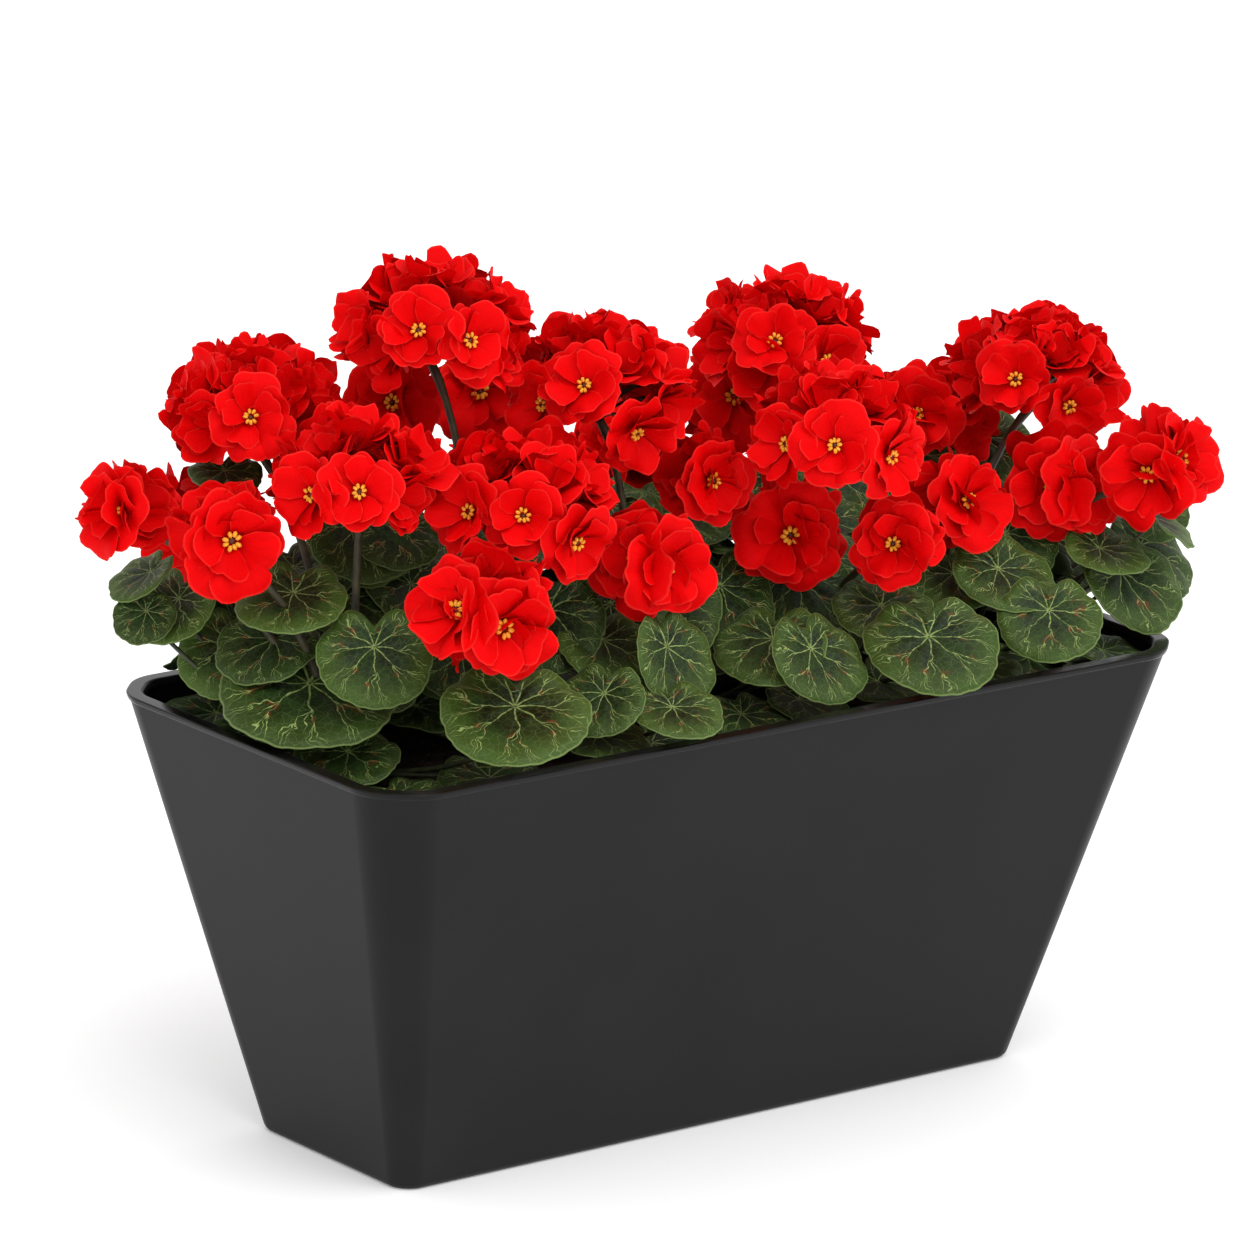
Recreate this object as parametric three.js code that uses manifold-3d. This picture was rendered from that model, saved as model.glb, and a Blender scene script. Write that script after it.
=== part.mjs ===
// A planted window box: a tapered planter filled with potting soil, in which leafy plants stand
// and carry domed heads of double scarlet florets.
// Units are millimetres and +Z is up. The origin is the centre of the planter's underside,
// +X runs along the planter's length and -Y is its front.
import * as THREE from "three";
import { mergeVertices } from "three/addons/utils/BufferGeometryUtils.js";
import Module from "manifold-3d";

const wasm = await Module();
wasm.setup();

// ---------------------------------------------------------------- driving dimensions

// Planter. Every wall leans out by the same TAPER from base to rim.
const RIM_LENGTH = 600;
const RIM_DEPTH = 281;
const HEIGHT = 263;
const TAPER = 68;
const WALL = 4;
const FLOOR = 6;
const LIP_OVERHANG = 1.2; // how far the rim's bead stands out from the wall below it
const LIP_HEIGHT = 4;
const RIM_WIDTH = 10;
const EDGE_ROUND = 1.2;
const BASE_ROUND = 4;
// Each corner is a flat facet between two blends; both shrink towards the base.
const FACET_LEG_TOP = 24;
const FACET_LEG_BASE = 9;
const BLEND_TOP = 30;
const BLEND_BASE = 14;
const BLEND_STEPS = 2;

const FIT_GAP = 0.3; // clearance between pieces that touch
const SOIL_TOP = 228;

// Plants: one crown per plant, in a row along the planter.
const CROWN_COUNT = 5;
const CROWN_SPACING = 112;
const CROWN_Y = 8;
const CROWN_RADIUS = 14;
const CROWN_DEPTH = 30; // how far a crown reaches down into the soil
const CROWN_RISE = 14;
const CROWN_SIDES = 6;
const STEM_SIDES = 3;
const PETIOLE_RADIUS = 1.7;
const PETIOLE_RINGS = 3;
const STALK_RADIUS = 2.4;
const STALK_STEPS = 3;
const STALK_LEAN = 0.3; // share of the way out at which a stalk turns outwards
const STALK_BEND = 0.8; // share of the way up at which it does so
// Where stems start on their crown: distance from its axis and height, as shares of its size.
const PETIOLE_ROOT = { out: 0.9, up: 0.4 };
const STALK_ROOT = { out: 0.5, up: 0.8 };

// Leaf blades: round, lobed, with a notch at the petiole. Shares are of the leaf's radius.
const BLADE_THICKNESS = 0.9;
const LEAF_LOBES = 7;
const SCALLOP_DEPTH = 0.045;
const SINUS_DEPTH = 0.34;
const SINUS_WIDTH = 0.24; // radians
const LEAF_WAVE = 0.05;
const HUB_DEPTH = 0.12; // how far the blade dips to its hub

// Florets: an inner cup of petals stands in an outer ring of petals. Each place is
// [distance from the axis, height], as shares of the floret's radius.
const PETALS = 5;
const FLORET_SHARE = 0.78; // bound on a floret's radius, as a share of the head's reach
const FLORET_SPIN = 0.7; // radians by which each floret is turned from the one before
const FLORET = {
  eye: -0.14,
  innerTip: [0.6, 0.2],
  innerDip: [0.46, 0.04],
  valley: [0.56, -0.14],
  outerTip: [1, 0],
  outerDip: [0.84, -0.12],
};
const ROOT_DEPTH = 0.9; // how far down towards the head's centre a floret's throat reaches
const CORE_SHARE = 0.45; // radius of a head's core, as a share of the head's reach
const CORE_ENTRY = 0.6; // depth below the centre at which the stalk ends, as a share of the core
const SPIRAL_POINTS = 70;
const MOST_SPREAD = 0.88; // bound on floret radius over reach when florets are spaced
// Kinds of heads: their florets' radius, the lowest elevation in degrees at which the spiral
// places one, and the head's height as a share of its width.
const HEAD_KINDS = {
  dome: { radius: 24, lowest: 6, squash: 0.8 },
  spray: { radius: 30, lowest: -8, squash: 1 },
  back: { radius: 27, lowest: -4, squash: 0.9 },
};

// Flower heads: centre, reach from centre to petal tips, and the directions
// [heading, elevation] in degrees of the florets that are placed first.
const FLOWER_HEADS = {
  dome_1: { at: [-225, 96, 421], reach: 56, first: [[-129, 20]] },
  dome_2: { at: [-134, 48, 467], reach: 58, first: [[-139, 25], [-99, 15]] },
  dome_3: { at: [-42, 7, 431], reach: 58, first: [[-141, 25], [-102, -18], [-172, 2]] },
  dome_4: { at: [104, 18, 436], reach: 56, first: [[-137, 25], [-98, 6]] },
  dome_5: { at: [303, 23, 388], reach: 57, first: [[-144, 20], [-104, -5]] },
  dome_6: { at: [66, -79, 409], reach: 54, first: [[-132, 12], [-174, 5], [-82, -5]] },
  dome_7: { at: [-219, 1, 400], reach: 55, first: [[-128, 17], [-166, 9]] },
  dome_8: { at: [-130, -37, 383], reach: 58, first: [[-129, 16], [-90, -11], [-170, 13]] },
  spray_1: { at: [-292, 30, 377], reach: 38, first: [[-115, 4]] },
  spray_2: { at: [-314, 92, 381], reach: 32, first: [[-168, 8]] },
  spray_4: { at: [-192, -84, 341], reach: 44, first: [[-168, 20], [-103, 0]] },
  spray_5: { at: [-59, -65, 349], reach: 36, first: [[-166, 10], [-100, 6]] },
  spray_6: { at: [74, -27, 340], reach: 38, first: [[-124, 6]] },
  spray_7: { at: [114, -78, 340], reach: 31, first: [[-136, 8]] },
  spray_8: { at: [185, -46, 346], reach: 34, first: [[-95, 16]] },
  spray_9: { at: [14, -19, 380], reach: 32, first: [[-100, 2]] },
  spray_10: { at: [272, -44, 345], reach: 38, first: [[-150, 2], [-90, 6]] },
  spray_11: { at: [298, -99, 365], reach: 36, first: [[-150, -4], [-75, 22]] },
  spray_12: { at: [243, 60, 369], reach: 32, first: [[-128, 10]] },
  spray_13: { at: [122, 85, 391], reach: 38, first: [[-128, 10]] },
  spray_14: { at: [-117, 107, 416], reach: 34, first: [[-128, 6]] },
  spray_15: { at: [-43, 119, 407], reach: 36, first: [[-128, 16]] },
  back_1: { at: [-226, 135, 345], reach: 42, first: [[100, 20]] },
  back_2: { at: [-122, 135, 358], reach: 44, first: [[80, 20]] },
  back_3: { at: [-2, 135, 348], reach: 44, first: [[95, 20]] },
  back_4: { at: [84, 133, 345], reach: 42, first: [[85, 20]] },
  back_5: { at: [190, 118, 372], reach: 44, first: [[90, 20]] },
  back_6: { at: [296, 94, 350], reach: 38, first: [[60, 20]] },
};

// Leaves: hub, radius, and the tilt and heading in degrees towards which the blade leans.
const LEAVES = [
  { at: [-268, 60, 297], radius: 30, tilt: 50, heading: -150 },
  { at: [-257, -5, 288], radius: 52, tilt: 25, heading: -130 },
  { at: [-234, -36, 312], radius: 34, tilt: 46, heading: -125 },
  { at: [-256, 16, 338], radius: 33, tilt: 25, heading: -140 },
  { at: [-169, 70, 337], radius: 32, tilt: 20, heading: -110 },
  { at: [-287, 88, 321], radius: 28, tilt: 40, heading: -160 },
  { at: [-300, 100, 338], radius: 22, tilt: 35, heading: 170 },
  { at: [-248, -31, 255], radius: 31, tilt: 20, heading: -130 },
  { at: [-188, -109, 290], radius: 44, tilt: 26, heading: -125 },
  { at: [-80, -55, 300], radius: 30, tilt: 30, heading: -110 },
  { at: [-63, -96, 300], radius: 31, tilt: 62, heading: -80 },
  { at: [-121, -100, 285], radius: 27, tilt: 40, heading: -150 },
  { at: [-85, -126, 280], radius: 28, tilt: 20, heading: -110 },
  { at: [-115, -98, 262], radius: 27, tilt: 15, heading: -100 },
  { at: [-154, -2, 285], radius: 25, tilt: 30, heading: -120 },
  { at: [23, -76, 290], radius: 34, tilt: 30, heading: -140 },
  { at: [38, -104, 287], radius: 32, tilt: 45, heading: -90 },
  { at: [107, -78, 300], radius: 31, tilt: 20, heading: -120 },
  { at: [105, -125, 290], radius: 41, tilt: 30, heading: -120 },
  { at: [186, -50, 300], radius: 27, tilt: 30, heading: -120 },
  { at: [198, -81, 308], radius: 33, tilt: 30, heading: -100 },
  { at: [200, -120, 290], radius: 32, tilt: 40, heading: -125 },
  { at: [273, -86, 313], radius: 27, tilt: 20, heading: -90 },
  { at: [290, -90, 292], radius: 36, tilt: 45, heading: -85 },
  { at: [312, -92, 327], radius: 24, tilt: 35, heading: -40 },
];

// Rows of leaves along the planter's back, its middle and its +X end: the first and last hub,
// how many, and the blades' radius, tilt and heading. SCATTER is how far each value may stray.
const LEAF_ROWS = [
  { from: [-232, 108, 290], to: [238, 108, 290], count: 9, radius: 36, tilt: 32, heading: 90 },
  { from: [-165, 42, 306], to: [180, 42, 306], count: 6, radius: 33, tilt: 12, heading: 70 },
  { from: [270, 72, 292], to: [270, -12, 292], count: 3, radius: 35, tilt: 34, heading: 10 },
];
const SCATTER = { at: 8, radius: 4, tilt: 7, heading: 22 };
const SEED = 4259;

// ---------------------------------------------------------------- materials

const finish = (color, roughness) => new THREE.MeshStandardMaterial({ color, roughness, metalness: 0 });
const PLANTER_FINISH = finish(0x303133, 0.5);
const SOIL_FINISH = finish(0x2b1d14, 0.95);
const LEAF_FINISH = finish(0x33502a, 0.6);
const PETAL_FINISH = finish(0xd2060c, 0.55);

// ---------------------------------------------------------------- solids

const radians = THREE.MathUtils.degToRad;

// A unit vector from a heading about +Z, counted from +X, and an elevation, both in degrees.
function direction(heading, elevation) {
  return new THREE.Vector3(
    Math.cos(radians(elevation)) * Math.cos(radians(heading)),
    Math.cos(radians(elevation)) * Math.sin(radians(heading)),
    Math.sin(radians(elevation)),
  );
}

// The triangles between two rings of points that run the same way round. On a tie the ring with
// more points advances first, so a blade's two faces are split alike.
function zip(startA, countA, startB, countB) {
  const triangles = [];
  let a = 0;
  let b = 0;
  while ((countA > 1 && a < countA) || (countB > 1 && b < countB)) {
    const nextA = countA > 1 && a < countA ? (a + 1) / countA : Infinity;
    const nextB = countB > 1 && b < countB ? (b + 1) / countB : Infinity;
    const pointA = startA + (a % countA);
    const pointB = startB + (b % countB);
    if (nextA < nextB || (nextA === nextB && countA > countB)) {
      a += 1;
      triangles.push(pointA, pointB, startA + (a % countA));
    } else {
      b += 1;
      triangles.push(pointA, pointB, startB + (b % countB));
    }
  }
  return triangles;
}

// A closed surface through rings of points, from a top point outwards and round to a bottom point.
function skin(rings) {
  const positions = [];
  const index = [];
  let start = 0;
  rings.forEach((ring, i) => {
    ring.forEach((point) => positions.push(point.x, point.y, point.z));
    if (i > 0) {
      const last = rings[i - 1].length;
      index.push(...zip(start - last, last, start, ring.length));
    }
    start += ring.length;
  });
  const geometry = new THREE.BufferGeometry();
  geometry.setAttribute("position", new THREE.Float32BufferAttribute(positions, 3));
  geometry.setIndex(index);
  return geometry;
}

function toSolid(geometry) {
  const bare = geometry.clone();
  bare.deleteAttribute("normal");
  bare.deleteAttribute("uv");
  const merged = mergeVertices(bare, 1e-3);
  return new wasm.Manifold(
    new wasm.Mesh({
      numProp: 3,
      vertProperties: merged.attributes.position.array,
      triVerts: new Uint32Array(merged.index.array),
    }),
  );
}

function toMesh(name, solid, material) {
  const { vertProperties, triVerts } = solid.getMesh();
  const geometry = new THREE.BufferGeometry();
  geometry.setAttribute("position", new THREE.BufferAttribute(vertProperties, 3));
  geometry.setIndex(new THREE.BufferAttribute(triVerts, 1));
  const mesh = new THREE.Mesh(geometry, material);
  mesh.name = name;
  return mesh;
}

// Joins solids and keeps the largest body: a sealed hollow is filled and a loose scrap dropped.
function join(solids) {
  const bodies = solids.reduce((whole, solid) => whole.add(solid)).decompose();
  return bodies.reduce((best, body) => (body.volume() > best.volume() ? body : best));
}

// ---------------------------------------------------------------- planter and soil

// The planter's outline at a height, moved in from its outer wall by an inset: a rectangle whose
// corners are facets with a blend at each end. It runs anticlockwise from the middle of the +X wall.
function outline(inset, z) {
  const share = z / HEIGHT;
  const halfLength = RIM_LENGTH / 2 - LIP_OVERHANG - TAPER * (1 - share) - inset;
  const halfDepth = RIM_DEPTH / 2 - LIP_OVERHANG - TAPER * (1 - share) - inset;
  const leg = THREE.MathUtils.lerp(FACET_LEG_BASE, FACET_LEG_TOP, share) - inset * (2 - Math.SQRT2);
  const blend = THREE.MathUtils.lerp(BLEND_BASE, BLEND_TOP, share) - inset;
  const reach = blend * Math.tan(Math.PI / 8);
  const steps = Array.from({ length: BLEND_STEPS + 1 }, (_, i) => (i / BLEND_STEPS) * (Math.PI / 4));
  const inwards = (angle) => blend * (1 - Math.cos(angle));
  const fromCorner = (angle) => leg + reach - blend * Math.sin(angle);
  const quarter = [
    ...steps.map((angle) => [halfLength - inwards(angle), halfDepth - fromCorner(angle)]),
    ...steps.toReversed().map((angle) => [halfLength - fromCorner(angle), halfDepth - inwards(angle)]),
  ];
  const turned = (signX, signY) => quarter.map(([x, y]) => new THREE.Vector3(signX * x, signY * y, z));
  return [
    ...turned(1, 1),
    ...turned(-1, 1).toReversed(),
    ...turned(-1, -1),
    ...turned(1, -1).toReversed(),
  ];
}

function planterSolid() {
  const lipBase = HEIGHT - LIP_HEIGHT;
  const rimInside = RIM_WIDTH - LIP_OVERHANG;
  return toSolid(
    skin([
      [new THREE.Vector3(0, 0, FLOOR)],
      outline(WALL, FLOOR),
      outline(WALL, lipBase - WALL),
      outline(rimInside, lipBase),
      outline(rimInside, HEIGHT - EDGE_ROUND),
      outline(rimInside - EDGE_ROUND, HEIGHT),
      outline(EDGE_ROUND - LIP_OVERHANG, HEIGHT),
      outline(-LIP_OVERHANG, HEIGHT - EDGE_ROUND),
      outline(-LIP_OVERHANG, lipBase + EDGE_ROUND),
      outline(0, lipBase),
      outline(0, BASE_ROUND),
      outline(BASE_ROUND, 0),
      [new THREE.Vector3(0, 0, 0)],
    ]),
  );
}

function soilSolid(crowns) {
  const body = toSolid(
    skin([
      [new THREE.Vector3(0, 0, SOIL_TOP)],
      outline(WALL + FIT_GAP, SOIL_TOP),
      outline(WALL + FIT_GAP, FLOOR + FIT_GAP),
      [new THREE.Vector3(0, 0, FLOOR + FIT_GAP)],
    ]),
  );
  return crowns.reduce((soil, crown) => soil.subtract(crownSolid(crown, FIT_GAP)), body);
}

// ---------------------------------------------------------------- plants

// A seeded generator of numbers from -1 to 1, by the minimal standard rule.
const MULTIPLIER = 16807;
const MODULUS = 2147483647;
function seededSpread(seed) {
  let state = seed;
  return () => {
    state = (state * MULTIPLIER) % MODULUS;
    return (2 * state) / MODULUS - 1;
  };
}

function rowLeaves() {
  const spread = seededSpread(SEED);
  return LEAF_ROWS.flatMap((row) =>
    Array.from({ length: row.count }, (_, i) => ({
      at: row.from.map((start, axis) =>
        THREE.MathUtils.lerp(start, row.to[axis], i / (row.count - 1)) + SCATTER.at * spread()),
      radius: row.radius + SCATTER.radius * spread(),
      tilt: row.tilt + SCATTER.tilt * spread(),
      heading: row.heading + SCATTER.heading * spread(),
    })),
  );
}

function crownPlaces() {
  const middle = (CROWN_COUNT - 1) / 2;
  return Array.from(
    { length: CROWN_COUNT },
    (_, i) => new THREE.Vector3((i - middle) * CROWN_SPACING, CROWN_Y, SOIL_TOP),
  );
}

// The short woody crown that stands in the soil; grow makes the hole for it.
function crownSolid(place, grow = 0) {
  const height = CROWN_DEPTH + CROWN_RISE;
  const geometry = new THREE.CylinderGeometry(
    CROWN_RADIUS + grow,
    CROWN_RADIUS + grow,
    height + 2 * grow,
    CROWN_SIDES,
  );
  geometry.rotateX(Math.PI / 2);
  geometry.translate(place.x, place.y, place.z + (CROWN_RISE - CROWN_DEPTH) / 2);
  return toSolid(geometry);
}

function nearest(places, point) {
  const distance = (place) => Math.hypot(place.x - point.x, place.y - point.y);
  return places.reduce((best, place) => (distance(place) < distance(best) ? place : best));
}

// Gives each thing on a crown its root there: evenly spaced in the order of their headings.
function setRoots(crown, things, place) {
  const heading = ({ at: [x, y] }) => Math.atan2(y - crown.y, x - crown.x);
  const sorted = things.toSorted((one, other) => heading(one) - heading(other));
  sorted.forEach((thing, i) => {
    const angle = heading(sorted[0]) + (2 * Math.PI * i) / sorted.length;
    const out = CROWN_RADIUS * place.out;
    const up = CROWN_RISE * place.up;
    thing.root = new THREE.Vector3(out * Math.cos(angle), out * Math.sin(angle), up).add(crown);
  });
}

// A flower stalk rises from its crown and leans out under the head. A copy that is wider and a
// little higher cuts the hole it stands in. Its flats are nearer its axis than its corners, so its
// radius grows by more than the gap.
function stalkSolid({ centre, reach, root }, gap = 0) {
  const tip = centre.clone();
  tip.z -= reach * CORE_SHARE * CORE_ENTRY;
  const bend = root.clone().lerp(tip, STALK_LEAN);
  bend.z = THREE.MathUtils.lerp(root.z, tip.z, STALK_BEND);
  const radius = STALK_RADIUS + 2.5 * gap;
  const section = new THREE.Shape(
    Array.from({ length: STEM_SIDES }, (_, i) => {
      const angle = (2 * Math.PI * i) / STEM_SIDES;
      return new THREE.Vector2(radius * Math.cos(angle), radius * Math.sin(angle));
    }),
  );
  const geometry = new THREE.ExtrudeGeometry(section, {
    steps: STALK_STEPS,
    bevelEnabled: false,
    extrudePath: new THREE.QuadraticBezierCurve3(root, bend, tip),
  });
  return toSolid(geometry.translate(0, 0, gap));
}

// A leaf's frame: its face leans by the tilt towards the heading, its tip points downhill.
function leafFrame(leaf) {
  const normal = direction(leaf.heading, 90 - leaf.tilt);
  const tip = direction(leaf.heading, -leaf.tilt);
  const side = new THREE.Vector3().crossVectors(normal, tip);
  return new THREE.Matrix4().makeBasis(tip, side, normal).setPosition(...leaf.at);
}

// The edge of a leaf blade at an angle from its tip, as a share of its radius.
function leafEdge(angle) {
  const lobe = Math.abs(Math.sin((angle * LEAF_LOBES) / 2));
  const fromSinus = Math.PI - Math.abs(angle);
  const sinus = SINUS_DEPTH * Math.exp(-((fromSinus / SINUS_WIDTH) ** 2));
  return 1 - SCALLOP_DEPTH * lobe - sinus;
}

// Rings of a stem's section along a curve that runs downwards; side sets where they start.
function stemRings(curve, radius, side) {
  return Array.from({ length: PETIOLE_RINGS }, (_, step) => {
    const share = step / (PETIOLE_RINGS - 1);
    const upwards = curve.getTangent(share).negate();
    const across = side.clone().projectOnPlane(upwards).normalize();
    const other = new THREE.Vector3().crossVectors(upwards, across);
    return Array.from({ length: STEM_SIDES }, (_, i) => {
      const angle = (2 * Math.PI * i) / STEM_SIDES;
      return curve
        .getPoint(share)
        .addScaledVector(across, radius * Math.cos(angle))
        .addScaledVector(other, radius * Math.sin(angle));
    });
  });
}

// A leaf in one skin: the blade's upper face from its sunken hub to its waved edge, the lower
// face back to the hub, and the petiole down into the crown.
function leafSolid(leaf) {
  const frame = leafFrame(leaf);
  const place = (x, y, z) => new THREE.Vector3(x, y, z).applyMatrix4(frame);
  const edge = (drop) =>
    Array.from({ length: 2 * LEAF_LOBES }, (_, i) => {
      const angle = (Math.PI * i) / LEAF_LOBES - Math.PI;
      const reach = leaf.radius * leafEdge(angle);
      const wave = LEAF_WAVE * leaf.radius * Math.sin(2 * angle + leaf.radius);
      return place(reach * Math.cos(angle), reach * Math.sin(angle), wave - drop);
    });
  const sunk = HUB_DEPTH * leaf.radius;
  const hub = place(0, 0, -sunk - BLADE_THICKNESS);
  const below = place(0, 0, -sunk - leaf.radius);
  below.z = Math.max(below.z, SOIL_TOP + CROWN_RISE);
  const petiole = new THREE.QuadraticBezierCurve3(hub, below, leaf.root);
  const tip = new THREE.Vector3().setFromMatrixColumn(frame, 0);
  return toSolid(
    skin([
      [place(0, 0, -sunk)],
      edge(0),
      edge(BLADE_THICKNESS),
      ...stemRings(petiole, PETIOLE_RADIUS, tip),
      [leaf.root],
    ]),
  );
}

// ---------------------------------------------------------------- flower heads

// The directions of a head's florets: the given ones, then those points of a spiral from the top
// down that stay clear of all before them.
function floretDirections({ kind, reach, first }) {
  const chosen = first.map(([heading, elevation]) => direction(heading, elevation));
  const clear = 2 * Math.asin(Math.min(kind.radius / reach, MOST_SPREAD));
  const goldenAngle = 180 * (3 - Math.sqrt(5));
  const lowest = Math.sin(radians(kind.lowest));
  for (let i = 0; i < SPIRAL_POINTS; i += 1) {
    const height = THREE.MathUtils.lerp(1, lowest, i / (SPIRAL_POINTS - 1));
    const point = direction(i * goldenAngle, THREE.MathUtils.radToDeg(Math.asin(height)));
    if (chosen.every((other) => other.angleTo(point) > clear)) chosen.push(point);
  }
  return chosen;
}

// One floret that faces +Z, with its outer petal tips level with the origin: a sunken eye, an
// inner cup of petals, a valley, an outer ring of petals, and a throat that narrows to a root.
function floretGeometry(radius, depth, spin) {
  const ringOf = (count, place) =>
    Array.from({ length: count }, (_, i) => {
      const angle = spin + (2 * Math.PI * i) / count;
      const [out, up] = place(i);
      return new THREE.Vector3(out * Math.cos(angle), out * Math.sin(angle), up).multiplyScalar(radius);
    });
  return skin([
    [new THREE.Vector3(0, 0, FLORET.eye * radius)],
    ringOf(2 * PETALS, (i) => (i % 2 ? FLORET.innerTip : FLORET.innerDip)),
    ringOf(PETALS, () => FLORET.valley),
    ringOf(2 * PETALS, (i) => (i % 2 ? FLORET.outerDip : FLORET.outerTip)),
    [new THREE.Vector3(0, 0, -depth)],
  ]);
}

// A head's florets stand on a ball that is squashed to the head's height, each facing straight out.
function headSolid(head, holes) {
  const { squash } = head.kind;
  const radius = Math.min(head.kind.radius, FLORET_SHARE * head.reach);
  const level = Math.sqrt(head.reach ** 2 - radius ** 2); // from the centre to a floret's origin
  const up = new THREE.Vector3(0, 0, 1);
  const florets = floretDirections(head).map((point, i) => {
    const origin = new THREE.Vector3(point.x, point.y, point.z * squash).multiplyScalar(level);
    const facing = new THREE.Vector3(point.x, point.y, point.z / squash).normalize();
    const depth = ROOT_DEPTH * origin.dot(facing);
    const floret = floretGeometry(radius, depth, i * FLORET_SPIN);
    floret.applyQuaternion(new THREE.Quaternion().setFromUnitVectors(up, facing));
    floret.translate(...origin);
    return toSolid(floret);
  });
  const core = toSolid(new THREE.IcosahedronGeometry(head.reach * CORE_SHARE));
  const whole = join([core, ...florets]).translate(head.centre.toArray());
  return holes.reduce((left, hole) => left.subtract(hole), whole);
}

// ---------------------------------------------------------------- assembly

const group = new THREE.Group();
const crowns = crownPlaces();
const heads = Object.entries(FLOWER_HEADS).map(([name, head]) => {
  const kind = HEAD_KINDS[name.split("_")[0]];
  return { ...head, name, kind, centre: new THREE.Vector3(...head.at) };
});

group.add(toMesh("planter", planterSolid(), PLANTER_FINISH));
group.add(toMesh("potting_soil", soilSolid(crowns), SOIL_FINISH));

const leaves = [...LEAVES, ...rowLeaves()];
crowns.forEach((crown, i) => {
  const own = ({ at }) => nearest(crowns, new THREE.Vector3(...at)) === crown;
  const ownLeaves = leaves.filter(own);
  const ownHeads = heads.filter(own);
  setRoots(crown, ownLeaves, PETIOLE_ROOT);
  setRoots(crown, ownHeads, STALK_ROOT);
  const pieces = [
    crownSolid(crown),
    ...ownLeaves.map(leafSolid),
    ...ownHeads.map((head) => stalkSolid(head)),
  ];
  group.add(toMesh(`plant_${i + 1}`, join(pieces), LEAF_FINISH));
});

const stalkHoles = heads.map((head) => stalkSolid(head, FIT_GAP));
heads.forEach((head) => {
  group.add(toMesh(`flower_${head.name}`, headSolid(head, stalkHoles), PETAL_FINISH));
});

export default group;
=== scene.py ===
"""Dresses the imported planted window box: a moulded planter, crumbly soil, five leafy plants and
their heads of ruffled scarlet florets. Lengths are metres, angles radians unless a name says
degrees, +Z is up and -Y is the planter's front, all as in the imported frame."""

import math
import random

import bpy
import numpy as np
from mathutils import Euler, Matrix, Vector, noise


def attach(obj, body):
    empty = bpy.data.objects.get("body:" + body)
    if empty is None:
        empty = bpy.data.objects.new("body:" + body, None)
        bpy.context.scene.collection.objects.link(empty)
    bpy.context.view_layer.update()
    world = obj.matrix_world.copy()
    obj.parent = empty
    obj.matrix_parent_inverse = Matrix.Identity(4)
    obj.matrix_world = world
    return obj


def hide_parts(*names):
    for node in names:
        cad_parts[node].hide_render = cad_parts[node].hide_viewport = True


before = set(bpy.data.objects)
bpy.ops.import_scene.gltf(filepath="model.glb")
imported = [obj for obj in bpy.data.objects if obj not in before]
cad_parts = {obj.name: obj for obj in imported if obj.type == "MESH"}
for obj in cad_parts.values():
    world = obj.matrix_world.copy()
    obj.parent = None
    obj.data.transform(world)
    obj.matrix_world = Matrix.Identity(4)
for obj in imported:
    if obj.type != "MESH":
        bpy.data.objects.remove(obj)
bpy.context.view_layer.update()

# ---------------------------------------------------------------- sizes shared with the solids

RIM_LENGTH = 0.600
RIM_DEPTH = 0.281
HEIGHT = 0.263
TAPER = 0.068
WALL = 0.004
FLOOR = 0.006
LIP_OVERHANG = 0.0012
LIP_HEIGHT = 0.004
RIM_WIDTH = 0.010
EDGE_ROUND = 0.0012
BASE_ROUND = 0.004
FACET_LEG_TOP = 0.024
FACET_LEG_BASE = 0.009
BLEND_TOP = 0.030
BLEND_BASE = 0.014
FIT_GAP = 0.0003
SOIL_TOP = 0.228

CROWN_COUNT = 5
CROWN_SPACING = 0.112
CROWN_Y = 0.008
CROWN_RADIUS = 0.014
CROWN_DEPTH = 0.030
CROWN_RISE = 0.014
PETIOLE_RADIUS = 0.0017
PETIOLE_ROOT = {"out": 0.9, "up": 0.4}
STALK_RADIUS = 0.0024
STALK_ROOT = {"out": 0.5, "up": 0.8}
STALK_LEAN = 0.3
STALK_BEND = 0.8

LEAF_LOBES = 7
SCALLOP_DEPTH = 0.045
SINUS_DEPTH = 0.34
SINUS_WIDTH = 0.24
LEAF_WAVE = 0.05
HUB_DEPTH = 0.12

FLORET_SHARE = 0.78
CORE_SHARE = 0.45
CORE_ENTRY = 0.6
SPIRAL_POINTS = 70
MOST_SPREAD = 0.88
# Kinds of heads: their florets' radius, the lowest elevation in degrees at which the spiral places
# one, and the head's height as a share of its width.
HEAD_KINDS = {
    "dome": {"radius": 0.024, "lowest": 6, "squash": 0.8},
    "spray": {"radius": 0.030, "lowest": -8, "squash": 1},
    "back": {"radius": 0.027, "lowest": -4, "squash": 0.9},
}

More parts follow.
